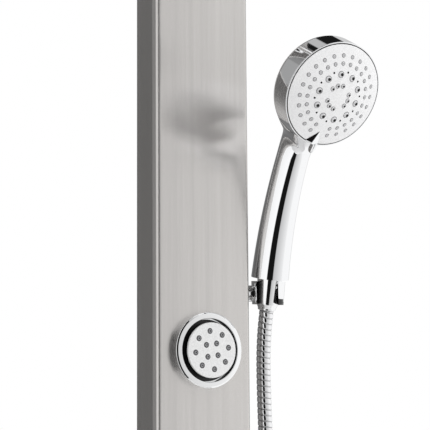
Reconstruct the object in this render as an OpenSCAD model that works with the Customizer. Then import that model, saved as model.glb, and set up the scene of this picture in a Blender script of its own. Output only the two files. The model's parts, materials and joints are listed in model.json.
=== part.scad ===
// Rainfall shower column: a slim folded steel wall panel that carries an overhead rain
// head on an arm, three swivelling body jets, a diverter, a single-lever mixer, and a
// hand shower with a steel hose in a side holder.
// Frame: +X right, -Y out of the wall into the room, +Z up, in millimetres.
// The origin is on the wall, at the centre of the four wall fixings.

/* [Panel] */
// Width of the panel
panel_w = 102; // [100:1:120]
// Depth of the panel, from the wall to its front
panel_d = 40; // [40:0.5:48]
// Height of the panel, with both end caps
panel_h = 1300; // [1300:5:1330]
// Thickness of the folded sheet
sheet_t = 1.5; // [1.2:0.1:1.5]
// Radius of the two long front edges
edge_r = 4.2; // [3:0.1:4.5]
// Width of the hems folded in at the back
hem_w = 8; // [4:1:9]
// Height of the upper wall fixings above the origin
fixing_z = 560; // [550:1:565]
// Distance from one wall fixing to the next along a bracket
fixing_x = 60; // [50:1:64]
// Radius of a wall fixing hole
fixing_r = 3; // [2.5:0.25:3.5]

/* [Body jets] */
// Height of the top jet
jet_top_z = 150; // [140:1:160]
// Distance from one jet to the next
jet_pitch = 160; // [140:5:170]
// Radius of the jet's chrome ring
jet_ring_r = 35; // [34.5:0.5:37]
// Radius of the jet's swivelling face
jet_face_r = 25.7; // [24.5:0.1:26]

/* [Rain head] */
// Height of the arm
arm_z = 600; // [590:1:605]
// Distance from the wall to the middle of the rain head
arm_reach = 355; // [320:5:400]
// Radius of the rain head
rain_r = 100; // [98:1:125]

/* [Controls] */
// Height of the diverter
diverter_z = -330; // [-340:1:-325]
// Height of the mixer
mixer_z = -460; // [-465:1:-455]
// Thread radius of a half-inch pipe connection
pipe_thread_r = 10.4775; // [10.4:0.0025:10.5]

/* [Hand shower] */
// Distance from the side of the panel to the middle of the handset
handset_side = 25; // [25:1:28]
// Radius of the handset's head
head_r = 50; // [49.6:0.1:51]
// How far the face of the handset looks down, in degrees
face_tilt = 28.7; // [28:0.1:30]
// Lean of the handset in its holder, in degrees
holder_lean = 12; // [11.5:0.1:12.5]
// Diameter of the hose
hose_d = 14; // [12:0.5:14]

/* [Hidden] */

$fn = 64;
eps = 0.01;                        // overlap that keeps a cut clean
cap_t = 2;                         // thickness of an end cap's plate
shell_h = panel_h - 2 * cap_t;     // height of the folded shell
inner_w = panel_w - 2 * sheet_t;   // clear width inside the shell
jet_zs = [jet_top_z, jet_top_z - jet_pitch, jet_top_z - 2 * jet_pitch];

chrome = "gainsboro";
steel = "silver";
brass = "goldenrod";
pale = "whitesmoke";
soft_grey = "dimgray";
black = "black";

// ---- shared helpers ----

// Puts things built along +Z on the panel's front, pointing out of the wall.
module on_front(z) {
    translate([0, -panel_d, z]) rotate([90, 0, 0]) children();
}

// A pipe: straight runs between the points, with a round joint at each corner. The swell
// makes the joints stand out like soldered elbows.
module pipe_run(points, r, swell = 0) {
    for (i = [1 : len(points) - 2]) translate(points[i]) sphere(r + swell);
    for (i = [0 : len(points) - 2]) pipe_between(points[i], points[i + 1], r);
}

module pipe_between(a, b, r) {
    v = b - a;
    translate(a)
        rotate([0, acos(v.z / norm(v)), atan2(v.y, v.x)])
            cylinder(r = r, h = norm(v));
}

// Positions on a ring, counted clockwise from the top.
function on_ring(r, count, start) =
    [for (k = [0 : count - 1]) [r * sin(start + 360 * k / count), r * cos(start + 360 * k / count)]];

// ---- panel, end caps and fixing ----

shoulder_in = 0.5;     // how far each side draws in before its front edge
shoulder_d = 4.6;      // depth of the stretch that draws in

// The fold's outline: straight sides that draw in a little before the rounded front edges.
module panel_outline(inset, r, back) {
    side = panel_w / 2 - inset;
    corner = side - shoulder_in - r;
    front = -panel_d + inset;
    polygon([[-side, back], [-side, front + r + shoulder_d], [-corner - r, front + r],
             [-corner, front], [corner, front], [corner + r, front + r],
             [side, front + r + shoulder_d], [side, back]]);
    for (s = [-1, 1]) translate([s * corner, front + r]) circle(r);
}

module panel_profile() {
    difference() {
        panel_outline(0, edge_r, 0);
        panel_outline(sheet_t, edge_r - sheet_t, -sheet_t);
        translate([-inner_w / 2 + hem_w, -sheet_t - 1]) square([inner_w - 2 * hem_w, sheet_t + 2]);
    }
}

jet_hole_r = 27;
diverter_hole_r = 19;
mixer_hole_r = 22;
arm_hole_r = 12;
stem_y = -22;
stem_z = 206;
holder_screw_r = 2.5;

module panel_shell() {
    color(steel) difference() {
        translate([0, 0, -shell_h / 2]) linear_extrude(shell_h) panel_profile();
        for (z = jet_zs) on_front(z) translate([0, 0, -5]) cylinder(r = jet_hole_r, h = 10);
        on_front(diverter_z) translate([0, 0, -5]) cylinder(r = diverter_hole_r, h = 10);
        on_front(mixer_z) translate([0, 0, -5]) cylinder(r = mixer_hole_r, h = 10);
        on_front(arm_z) translate([0, 0, -5]) cylinder(r = arm_hole_r, h = 10);
        translate([panel_w / 2 - 5, stem_y, stem_z]) rotate([0, 90, 0])
            cylinder(r = holder_screw_r, h = 10);
    }
}

// A cap closes an end of the shell and has a lip that plugs into it.
module end_cap() {
    linear_extrude(cap_t) panel_outline(0, edge_r, 0);
    translate([0, 0, -10]) linear_extrude(10 + eps) difference() {
        panel_outline(sheet_t, edge_r - sheet_t, -sheet_t);
        panel_outline(sheet_t + 1.5, 1, -sheet_t - 1.5);
    }
}

outlet_x = -34;
outlet_y = -20;
outlet_top = -634;

module top_cap() {
    color(steel) translate([0, 0, shell_h / 2]) end_cap();
}

module bottom_cap() {
    color(steel) difference() {
        translate([0, 0, -shell_h / 2]) mirror([0, 0, 1]) end_cap();
        translate([outlet_x, outlet_y, -panel_h / 2 - 1]) cylinder(r = pipe_thread_r, h = cap_t + 2);
        translate([0, outlet_y, -panel_h / 2 - 1]) cylinder(r = 3, h = cap_t + 2);
    }
}

bracket_w = 80;
hook_top = 30;      // height of the hook above the fixing holes

// The bracket is screwed to the wall; the panel's rail hooks over its raised lip.
module wall_bracket(z) {
    color(steel) translate([0, 0, z]) difference() {
        rotate([90, 0, 90]) translate([0, 0, -bracket_w / 2]) linear_extrude(bracket_w)
            polygon([[0, -15], [0, 17], [-6, 17], [-6, hook_top], [-8, hook_top], [-8, 15],
                     [-2, 15], [-2, -15]]);
        for (s = [-1, 1]) translate([s * fixing_x / 2, -3, 0]) rotate([-90, 0, 0])
            cylinder(r = fixing_r, h = 4);
    }
}

module hang_rail(z) {
    color(steel) translate([0, 0, z]) rotate([90, 0, 90]) translate([0, 0, -inner_w / 2])
        linear_extrude(inner_w)
            polygon([[-14, 8], [-12.5, 8], [-12.5, hook_top], [-5, hook_top], [-5, 20], [-3.5, 20],
                     [-3.5, hook_top + 1.5], [-14, hook_top + 1.5]]);
}

// ---- body jets, built along +Z from the panel's front ----

jet_pivot = -5;        // the ball's centre, behind the panel's front
jet_ball_r = 14;
jet_face_z = 13;       // front of the swivelling face
jet_mat = [10.9, 11.5];
jet_nozzle_ends = concat(on_ring(17.8, 8, -7.5), on_ring(7.8, 4, 37.5));

module jet_ring() {
    o = jet_ring_r;
    color(chrome) rotate_extrude()
        polygon([[27, 0], [o, 0], [o, 5.8], [o - 0.4, 7.4], [o - 1.4, 8.7], [o - 2.6, 9.4],
                 [o - 3.8, 9.5], [o - 4.8, 9.2], [o - 5.4, 8.4], [o - 5.6, 1.5], [27, 1.5]]);
}

module jet_housing() {
    rotate_extrude()
        polygon([[6, -19], [26.7, -19], [26.7, 1.5], [28.8, 1.5], [28.8, 2.8], [24.2, 2.8],
                 [24.2, 1], [20.3, 1], [20.3, -10.9], [16.5, -10.9], [16.5, -16], [6, -16]]);
}

module jet_retainer() {
    rotate_extrude() polygon([[14.5, 1], [24.2, 1], [24.2, 2.8], [15.5, 2.8]]);
}

module jet_lock_nut() {
    difference() {
        translate([0, 0, -8]) cylinder(r = 33, h = 8 - sheet_t, $fn = 12);
        translate([0, 0, -9]) cylinder(r = 26.7, h = 10);
    }
}

module jet_seat() {
    color(soft_grey) difference() {
        translate([0, 0, jet_pivot - 5.5]) cylinder(r = 20.2, h = 11);
        translate([0, 0, jet_pivot]) sphere(jet_ball_r + 0.3);
    }
}

module jet_face() {
    color(pale) difference() {
        union() {
            intersection() {
                translate([0, 0, jet_pivot]) sphere(jet_ball_r);
                translate([0, 0, jet_pivot - 7.5]) cylinder(r = jet_ball_r + 1, h = 30);
            }
            translate([0, 0, jet_pivot]) cylinder(r = 8, h = 9 - jet_pivot);
            rotate_extrude()
                polygon([[0, 8.5], [21, 8.5], [jet_face_r - 0.5, 10.2], [jet_face_r, 11],
                         [jet_face_r, 12.5], [jet_face_r - 0.5, jet_face_z], [0, jet_face_z]]);
        }
        translate([0, 0, jet_pivot - 8]) cylinder(r = 4.5, h = 20);
        translate([0, 0, 10.3]) cylinder(r = 22.6, h = jet_mat[1] - 10.3);
        for (p = jet_nozzle_ends) translate([p.x, p.y, 11]) cylinder(r = 2.8, h = 3);
    }
}

// One soft mat behind the face, with its nozzles standing through the holes.
module jet_nozzles() {
    color(soft_grey) difference() {
        union() {
            translate([0, 0, jet_mat[0]]) cylinder(r = 22.6, h = jet_mat[1] - jet_mat[0]);
            for (p = jet_nozzle_ends) translate([p.x, p.y, jet_mat[0]]) cylinder(r = 2.7, h = 3);
        }
        for (p = jet_nozzle_ends) translate([p.x, p.y, 10]) cylinder(r = 0.9, h = 5);
    }
}

module jet_housings() { color(black) for (z = jet_zs) on_front(z) jet_housing(); }
module jet_retainers() { color(black) for (z = jet_zs) on_front(z) jet_retainer(); }
module jet_lock_nuts() { color(pale) for (z = jet_zs) on_front(z) jet_lock_nut(); }

// ---- pipes inside the panel ----

manifold_y = -12;
feed_y = -22;
riser_x = 38;
handset_pipe_x = -42;

// The two valve blocks, as the pipes that meet them are cut to fit.
module diverter_block() { on_front(diverter_z) translate([0, 0, -34]) cylinder(r = 18, h = 36); }
module mixer_block() { on_front(mixer_z) translate([0, 0, -33]) cylinder(r = 20, h = 35); }

module jet_manifold() {
    color(steel) {
        difference() {
            translate([0, manifold_y, diverter_z + 10]) cylinder(r = 6.5, h = jet_top_z - diverter_z - 10);
            diverter_block();
        }
        translate([0, manifold_y, jet_top_z]) sphere(6.5);
        for (z = jet_zs) translate([0, manifold_y, z]) rotate([90, 0, 0]) cylinder(r = 6, h = 11);
    }
}

module riser_pipe() {
    color(steel) difference() {
        pipe_run([[10, feed_y, diverter_z], [riser_x, feed_y, diverter_z],
                  [riser_x, feed_y, arm_z], [12, feed_y, arm_z]], 6);
        diverter_block();
    }
}

module handset_pipe() {
    jog = outlet_x - handset_pipe_x;
    color(steel) difference() {
        pipe_run([[-10, outlet_y, diverter_z], [handset_pipe_x, outlet_y, diverter_z],
                  [handset_pipe_x, outlet_y, outlet_top + 20 + jog],
                  [outlet_x, outlet_y, outlet_top + 20], [outlet_x, outlet_y, outlet_top]], 5, 0.5);
        diverter_block();
    }
}

module mixed_water_pipe() {
    color(steel) difference() {
        translate([0, feed_y, mixer_z + 10]) cylinder(r = 6.5, h = diverter_z - mixer_z - 20);
        diverter_block();
        mixer_block();
    }
}

// ---- mixer ----

lever_axis_z = 25;      // the lever's pin, in front of the panel
lever_droop = 22;       // how far the lever hangs below the horizontal at rest
inlet_x = 20;

module mixer_body() {
    color(brass) difference() {
        union() {
            mixer_block();
            translate([-32, feed_y, mixer_z]) rotate([0, 90, 0]) cylinder(r = 12, h = 64);
        }
        on_front(mixer_z) translate([0, 0, -26]) cylinder(r = 16, h = 40);
    }
}

module mixer_cartridge() {
    color(pale) on_front(mixer_z) {
        translate([0, 0, -26]) cylinder(r = 16, h = 28);
        translate([0, 0, 2]) cylinder(r = 5, h = 14);
    }
}

module mixer_plate() {
    color(chrome) on_front(mixer_z) rotate_extrude()
        polygon([[22, 0], [33, 0], [33, 2], [32, 3.6], [30, 4.6], [22, 5.2]]);
}

module mixer_cap() {
    color(chrome) on_front(mixer_z) difference() {
        rotate_extrude()
            polygon([[0, 12], [18, 12], [18, 5.8], [24, 5.8], [24, 28], [23.2, 31], [21.2, 33],
                     [18.5, 34], [0, 34]]);
        translate([-9.4, -30, lever_axis_z - 8]) cube([18.8, 38, 20]);
        translate([-30, 0, lever_axis_z]) rotate([0, 90, 0]) cylinder(r = 2, h = 60);
        translate([0, 0, 4]) cylinder(r = 5.05, h = 14);
    }
}

module mixer_lever() {
    color(chrome) on_front(mixer_z) translate([0, 0, lever_axis_z]) rotate([lever_droop, 0, 0])
        difference() {
            union() {
                translate([-9, 0, 0]) rotate([0, 90, 0]) cylinder(r = 6.5, h = 18);
                hull() {
                    translate([-7, -4, 0]) cube([14, 8, 4]);
                    translate([-6, -2.5, 42]) cube([12, 5, 4]);
                    translate([0, 2.5, 62]) rotate([90, 0, 0]) cylinder(r = 8.5, h = 5, $fn = 32);
                }
            }
            translate([-30, 0, 0]) rotate([0, 90, 0]) cylinder(r = 2.05, h = 60);
        }
}

module lever_pin() {
    color(steel) on_front(mixer_z) translate([-22, 0, lever_axis_z]) rotate([0, 90, 0])
        cylinder(r = 2, h = 44);
}

// A half-inch nipple under the mixer, for a supply hose to screw onto.
module inlet(side) {
    color(brass) difference() {
        translate([side * inlet_x, feed_y, mixer_z]) difference() {
            union() {
                translate([0, 0, -31]) cylinder(r = pipe_thread_r, h = 12);
                translate([0, 0, -19]) cylinder(r = 11, h = 8);
            }
            translate([0, 0, -32]) cylinder(r = 7, h = 22);
            rotate([0, 90, 0]) translate([0, 0, -20]) cylinder(r = 12, h = 40);
        }
        mixer_block();
    }
}

// ---- diverter ----

module diverter_body() {
    color(brass) difference() {
        diverter_block();
        on_front(diverter_z) translate([0, 0, -12]) cylinder(r = 4.4, h = 16);
    }
}

module diverter_plate() {
    color(chrome) on_front(diverter_z) rotate_extrude()
        polygon([[18, 0], [27, 0], [27, 1.6], [26, 3], [24, 3.8], [18, 4.2]]);
}

module diverter_spindle() {
    color(brass) on_front(diverter_z) translate([0, 0, -11]) cylinder(r = 4.35, h = 30);
}

module diverter_knob() {
    color(chrome) on_front(diverter_z) difference() {
        union() {
            rotate_extrude()
                polygon([[0, 4.8], [20, 4.8], [20.5, 6], [20.5, 19], [19.8, 21], [18, 22.2], [0, 22.8]]);
            hull() {
                translate([0, 18, 22]) cylinder(r = 3, h = 8, $fn = 32);
                translate([0, -18, 22]) cylinder(r = 3, h = 8, $fn = 32);
            }
        }
        for (a = [0 : 30 : 330]) rotate([0, 0, a + 15]) translate([22.5, 0, 8]) cylinder(r = 3, h = 30);
        translate([0, 0, 3]) cylinder(r = 4.35, h = 16);
    }
}

// ---- arm and rain head, hung from a ball ----

arm_r = 11;
arm_bend = 45;
ball_r = 11;
ball_z = arm_z - arm_bend - 30;    // centre of the ball
rain_spacing = 18;                 // distance from one ring of nozzles to the next
rain_ends = concat([[0, 0]], [for (k = [1 : 5]) each on_ring(k * rain_spacing, 6 * k, 0)]);

module at_ball() { translate([0, -arm_reach, ball_z]) children(); }

module arm_elbow() {
    color(brass) difference() {
        translate([-12, -panel_d + sheet_t, arm_z - 14]) cube([24, 22, 28]);
        on_front(arm_z) translate([0, 0, -18]) cylinder(r = 8, h = 18);
    }
}

module arm_rose() {
    color(chrome) on_front(arm_z) rotate_extrude()
        polygon([[arm_r, 0], [28, 0], [28, 1.5], [26.5, 4], [22, 6.5], [arm_r, 9]]);
}

module rain_arm() {
    run = arm_reach - panel_d - arm_bend;
    color(chrome) {
        on_front(arm_z) translate([0, 0, -sheet_t]) difference() {
            cylinder(r = arm_r, h = run + sheet_t);
            translate([0, 0, -1]) cylinder(r = arm_r - 2, h = run + sheet_t + 2);
        }
        translate([0, -panel_d - run, arm_z - arm_bend]) rotate([90, 0, -90])
            rotate_extrude(angle = 90) translate([arm_bend, 0]) difference() {
                circle(arm_r);
                circle(arm_r - 2);
            }
    }
}

module rain_ball_stud() {
    color(chrome) at_ball() difference() {
        union() {
            sphere(ball_r);
            cylinder(r = 6, h = 22);
            translate([0, 0, 19]) cylinder(r = arm_r, h = 11);
        }
        translate([0, 0, -15]) cylinder(r = 4, h = 50);
    }
}

module rain_seat() {
    color(soft_grey) at_ball() difference() {
        intersection() {
            sphere(ball_r + 2.3);
            translate([0, 0, -6]) cylinder(r = 20, h = 13);
        }
        sphere(ball_r + 0.3);
    }
}

module swivel_nut() {
    color(chrome) at_ball() difference() {
        rotate_extrude()
            polygon([[0, -12.5], [17, -12.5], [17.5, -11.5], [17.5, 2], [16, 5], [13, 9], [0, 9]]);
        sphere(ball_r + 2.6);
    }
}

module rain_cover() {
    o = rain_r;
    color(chrome) at_ball() rotate_extrude()
        polygon([[5, -12.5], [17, -12.5], [22, -14.5], [45, -16.6], [75, -18.4], [o - 5, -20],
                 [o - 1.6, -21], [o - 0.3, -22.6], [o, -24.5], [o, -28], [o - 1.4, -29],
                 [o - 1.4, -24], [o - 6, -22.2], [75, -20.6], [45, -18.8], [22, -16.8], [5, -16.8]]);
}

module rain_plate() {
    color(steel) at_ball() difference() {
        translate([0, 0, -29]) cylinder(r = rain_r - 1.4, h = 1.5);
        for (p = rain_ends) translate([p.x, p.y, -30]) cylinder(r = 2.1, h = 4);
    }
}

module rain_nozzles() {
    color(soft_grey) at_ball() {
        translate([0, 0, -27.5]) cylinder(r = rain_r - 6, h = 1);
        for (p = rain_ends) translate([p.x, p.y, -31.5]) cylinder(r = 2, h = 4.5);
    }
}

// ---- hand shower ----

handset_x = panel_w / 2 + handset_side;
grip_foot = [handset_x, -35.7, 220.4];   // middle of the handle's lower end
grip_bend = 415;                         // radius of the handle's gentle bend
grip_top_lean = 29;                      // lean where the handle meets the head
grip_r = 15.5;                           // radius of the handle where it meets the head
neck_bend = 60;
neck_lean = 74;
edge_point = [handset_x, -145.8, 381.8]; // middle of the face's edge
face_r = head_r - 1.9;
spigot_r = 10.2;                         // the handset's threaded end, inside the nut
spigot_h = 10;
dome_r = 135;                            // radius of the domed face
dome_drop = sqrt(dome_r * dome_r - face_r * face_r);
rim_depth = 22;

// Local frame of the head: +Z out of the face, +Y towards the top of the handset.
module on_head() { translate(edge_point) rotate([90 + face_tilt, 0, 0]) children(); }

// Local frame of the grip: +Z up the handle from its foot.
module on_grip() { translate(grip_foot) rotate([holder_lean, 0, 0]) children(); }

// The handle's middle line: an arc up the grip, then a tighter arc into the head.
// Each station is [Y, Z, lean, half width along X, half depth].
function grip_station(t) = let (a = holder_lean + t * (grip_top_lean - holder_lean),
        r = grip_r + 2.8 * pow(1 - t, 1.3))
    [grip_foot.y - grip_bend * (cos(holder_lean) - cos(a)),
     grip_foot.z + grip_bend * (sin(a) - sin(holder_lean)), a, r, r];
function neck_station(t) = let (top = grip_station(1), a = grip_top_lean + t * (neck_lean - grip_top_lean))
    [top[0] - neck_bend * (cos(grip_top_lean) - cos(a)),
     top[1] + neck_bend * (sin(a) - sin(grip_top_lean)), a,
     grip_r + 12 * pow(t, 1.4), grip_r - 2 * t];
grip_stations = concat([for (i = [0 : 8]) grip_station(i / 8)], [for (i = [1 : 6]) neck_station(i / 6)]);

// A ring of points square to the handle at a station, drawn in by a wall.
function grip_ring(s, wall, sides) = [for (k = [0 : sides - 1]) let (a = 360 * k / sides,
        across = (s[3] - wall) * cos(a), along = (s[4] - wall) * sin(a))
    [handset_x + across, s[0] - along * cos(s[2]), s[1] - along * sin(s[2])]];

// A closed tube through a list of rings that all have the same number of points.
module skin(rings) {
    n = len(rings[0]);
    last = len(rings) - 1;
    polyhedron(
        points = [for (ring = rings) each ring],
        faces = concat(
            [[for (k = [n - 1 : -1 : 0]) k]],
            [[for (k = [0 : n - 1]) last * n + k]],
            [for (i = [0 : last - 1], k = [0 : n - 1])
                [i * n + k, i * n + (k + 1) % n, (i + 1) * n + (k + 1) % n, (i + 1) * n + k]]));
}

module grip(wall) { skin([for (s = grip_stations) grip_ring(s, wall, 28)]); }

// The shell behind the rim: the back of the head and the hollow handle in one piece.
// resize() with no target size joins them into one mesh.
module handset_body() {
    color(chrome) resize([0, 0, 0]) difference() {
        union() {
            on_head() mirror([0, 0, 1]) translate([0, 0, rim_depth]) back_dome(head_r - 0.6, 17);
            difference() {
                grip(0);
                on_head() translate([0, 0, -rim_depth]) cylinder(r = head_r + 20, h = 60);
            }
            on_grip() translate([0, 0, -spigot_h]) cylinder(r = spigot_r, h = spigot_h + eps);
        }
        on_head() mirror([0, 0, 1]) translate([0, 0, rim_depth - eps]) back_dome(head_r - 3.4, 14);
        difference() {
            grip(4);
            on_grip() translate([0, 0, -1]) cylinder(r = 30, h = 5);
        }
        on_grip() translate([0, 0, -spigot_h - 1]) cylinder(r = 5, h = spigot_h + 8);
    }
}

module back_dome(r, h) {
    rotate_extrude($fn = 56)
        polygon([[0, 0], [r, 0], [r * 0.97, h * 0.16], [r * 0.88, h * 0.4], [r * 0.7, h * 0.67],
                 [r * 0.45, h * 0.88], [r * 0.2, h * 0.98], [0, h]]);
}

module handset_rim() {
    color(chrome) on_head() rotate_extrude()
        polygon([[head_r - 0.6, -rim_depth], [head_r, -rim_depth + 1.2], [head_r, -3],
                 [head_r - 0.35, -1.2], [head_r - 1, -0.3], [face_r + 0.4, -0.3], [face_r + 0.4, -4.6],
                 [head_r - 2.8, -4.6], [head_r - 2.8, -rim_depth]]);
}

// The spray disc is turned a little off the handle's line.
spray_turn = 10.4;
module on_spray() { on_head() rotate([0, 0, -spray_turn]) children(); }

small_nozzles = concat(ring_gap(38.5, 24), ring_gap(31.4, 24));
big_jets = on_ring(21.7, 10, 18);
air_holes = on_ring(24.3, 10, 0);
mid_jets = [for (g = [90, 210, 330], k = [-29, 0, 29]) [11.3 * sin(g + k), 11.3 * cos(g + k)]];

// Height of the domed face over its edge, at a distance from the middle.
function dome_at(r) = sqrt(dome_r * dome_r - r * r) - dome_drop;
// A ring of points that leaves out the one under the lever.
function ring_gap(r, count) = [for (p = on_ring(r, count, 0)) if (p.y > 1 - r) p];

// The domed disc: a slice of a large ball, with a flat underside.
module dome_disc() {
    rotate_extrude() intersection() {
        translate([0, -dome_drop]) circle(dome_r, $fn = 360);
        translate([0, -4]) square([face_r, 30]);
    }
}

module spray_face() {
    color(pale) on_spray() difference() {
        dome_disc();
        translate([0, 0, -5]) cylinder(r = face_r - 4, h = 5);
        for (p = small_nozzles) translate([p.x, p.y, -1]) cylinder(r = 1.35, h = 20);
        for (p = big_jets) translate([p.x, p.y, -1]) cylinder(r = 2.5, h = 20);
        for (p = mid_jets) translate([p.x, p.y, -1]) cylinder(r = 1.7, h = 20);
        for (p = air_holes) translate([p.x, p.y, -1]) cylinder(r = 0.8, h = 20);
    }
}

// Soft nozzles through the face: they stand 0.6 above the dome.
module stubs(points, r, proud) {
    translate([0, 0, -0.8]) cylinder(r = 42, h = 0.8);
    for (p = points) translate([p.x, p.y, -0.4]) cylinder(r = r, h = dome_at(norm(p)) + 0.4 + proud);
}

module spray_nozzles() {
    color(soft_grey) on_spray() difference() {
        stubs(small_nozzles, 1.3, 0.6);
        translate([0, 0, -2]) cylinder(r = 28, h = 4);
    }
}

module spray_jets() {
    color(soft_grey) on_spray() difference() {
        union() {
            translate([0, 0, -0.8]) cylinder(r = 27.8, h = 0.8);
            for (p = big_jets) translate([p.x, p.y, -0.4]) cylinder(r = 2.45, h = dome_at(21.7) + 0.8);
            for (p = mid_jets) translate([p.x, p.y, -0.4]) cylinder(r = 1.65, h = dome_at(11.3) + 0.8);
        }
        for (p = big_jets) translate([p.x, p.y, -2]) cylinder(r = 1.2, h = 30);
        for (p = mid_jets) translate([p.x, p.y, -2]) cylinder(r = 0.8, h = 30);
    }
}

// The pointed tab on the face and the thumb pad that reaches over the rim.
module selector_lever() {
    color(chrome) on_spray() difference() {
        union() {
            hull() {
                translate([0, -36, dome_at(36) + 0.2]) sphere(0.5, $fn = 16);
                for (s = [-1, 1]) translate([s * 6.5, -46.5, dome_at(46.5)]) sphere(0.6, $fn = 16);
                translate([0, -47.5, 5]) sphere(1.4, $fn = 16);
                translate([-3, -51, 1]) cube([6, 3, 3]);
            }
            hull() {
                translate([0, -53, 3.2]) sphere(2.6, $fn = 24);
                translate([0, -54.2, -6.5]) sphere(2.4, $fn = 24);
            }
        }
        dome_disc();
        translate([0, 0, -30]) cylinder(r = head_r + 0.5, h = 30.3);
    }
}

// ---- holder, nuts and hose ----

cup_top = [handset_x, -32.7, 217.4];
cup_lean = 3.3;
cup_h = 22.5;
slot_w = 21;
slot_turn = -37.6;      // which way the slot looks, from straight out of the wall
// Radius of the holder's tapered bore, by the distance below the handle's foot.
function bore_r(s) = 12.3 - 1.5 * (s - 3) / 24;

module cup_cone(extra) {
    translate(cup_top) rotate([cup_lean, 0, 0]) translate([0, 0, -cup_h])
        cylinder(r1 = 15.25 + extra, r2 = 16.6 + extra, h = cup_h);
}

module handset_holder() {
    color(chrome) difference() {
        union() {
            cup_cone(0);
            translate([panel_w / 2, stem_y, stem_z]) rotate([0, 90, 0])
                cylinder(r = 8, h = handset_side);
            translate([panel_w / 2, stem_y, stem_z]) rotate([0, 90, 0]) cylinder(r = 10, h = 2);
        }
        on_grip() translate([0, 0, -40]) cylinder(r1 = bore_r(40), r2 = bore_r(-10), h = 50);
        translate(cup_top) rotate([cup_lean, 0, slot_turn]) translate([-slot_w / 2, -30, -40])
            cube([slot_w, 30, 80]);
        translate([panel_w / 2 - 1, stem_y, stem_z]) rotate([0, 90, 0])
            cylinder(r = holder_screw_r, h = 11);
    }
}

module holder_screw() {
    color(steel) translate([panel_w / 2 - sheet_t, stem_y, stem_z]) rotate([0, 90, 0]) {
        cylinder(r = holder_screw_r, h = 11);
        translate([0, 0, -3]) cylinder(r = 4.5, h = 3);
    }
}

nut_h = 36;
nut_gap = 0.3;

module hose_nut_upper() {
    color(chrome) on_grip() difference() {
        union() {
            translate([0, 0, -27]) cylinder(r1 = bore_r(27) - nut_gap, r2 = bore_r(0) - nut_gap, h = 27);
            translate([0, 0, -33]) cylinder(r1 = 8.4, r2 = bore_r(27) - nut_gap, h = 6);
            translate([0, 0, -nut_h]) cylinder(r = 7.8, h = nut_h - 33);
        }
        translate([0, 0, -spigot_h]) cylinder(r = spigot_r, h = spigot_h + 1);
        translate([0, 0, -24]) cylinder(r = 5, h = 20);
    }
}

nut_lower_top = -panel_h / 2 - 5;
nut_lower_h = 17;

module hose_nut_lower() {
    color(chrome) translate([outlet_x, outlet_y, nut_lower_top - nut_lower_h]) difference() {
        union() {
            translate([0, 0, 5]) cylinder(r = 13.8, h = nut_lower_h - 5, $fn = 6);
            cylinder(r1 = 8, r2 = 11.6, h = 5);
        }
        translate([0, 0, 7]) cylinder(r = pipe_thread_r, h = nut_lower_h);
    }
}

module hose_outlet() {
    color(brass) translate([outlet_x, outlet_y, 0]) difference() {
        union() {
            translate([0, 0, -panel_h / 2 - 14]) cylinder(r = pipe_thread_r, h = 20);
            translate([0, 0, -shell_h / 2]) cylinder(r = 13, h = outlet_top + shell_h / 2);
        }
        translate([0, 0, -panel_h / 2 - 15]) cylinder(r = 4, h = 26);
    }
}

module outlet_locknut() {
    color(steel) translate([outlet_x, outlet_y, -panel_h / 2 - 4]) difference() {
        cylinder(r = 14, h = 4, $fn = 6);
        translate([0, 0, -1]) cylinder(r = pipe_thread_r, h = 6);
    }
}

// The hose's route: out of the upper nut, down beside the panel, round a hanging loop
// and up into the nut under the panel.
hose_route = [
    [76, -28, 184.6], [76, -25, 169], [76, -23, 150], [76, -22.5, 130], [76, -23, 110],
    [76, -24, 85], [76, -26, 50], [76, -27, 0], [77, -27, -70], [78, -26, -150],
    [80, -25, -230], [82, -24, -310], [84, -23, -390], [86, -22, -470], [88, -21, -550],
    [90, -20, -630], [92, -20, -710], [93, -20, -790], [94, -20, -850], [93, -20, -889],
    [87, -20, -917], [73, -20, -938], [53, -20, -951], [28, -20, -956], [3, -20, -951],
    [-17, -20, -938], [-31, -20, -917], [-37, -20, -889], [-38, -20, -850], [-38, -20, -805],
    [-36, -20, -755], [-34, -20, -712], [-34, -20, -672.3]
];
hose_last = len(hose_route) - 1;

// A smooth curve through the route: u counts route points.
function route_point(i) = hose_route[max(0, min(hose_last, i))];
function route_at(u) = let (i = min(floor(u), hose_last - 1), t = u - i,
        a = route_point(i - 1), b = route_point(i), c = route_point(i + 1), d = route_point(i + 2))
    0.5 * (2 * b + (c - a) * t + (2 * a - 5 * b + 4 * c - d) * t * t
           + (3 * b - a - 3 * c + d) * t * t * t);
function route_way(u) = let (v = route_at(min(u + 0.1, hose_last)) - route_at(max(u - 0.1, 0))) v / norm(v);

// A ring square to the hose; Y never lies along this hose, so it sets the ring's turn.
function hose_ring(u, sides) = let (way = route_way(u), side = cross(way, [0, 1, 0]),
        e1 = side / norm(side), e2 = cross(way, e1), r = hose_d / 2)
    [for (k = [0 : sides - 1])
        route_at(u) + r * cos(360 * k / sides) * e1 + r * sin(360 * k / sides) * e2];

module hose() {
    color("darkgray") skin([for (i = [0 : 2 * hose_last]) hose_ring(i / 2, 12)]);
}

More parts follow.
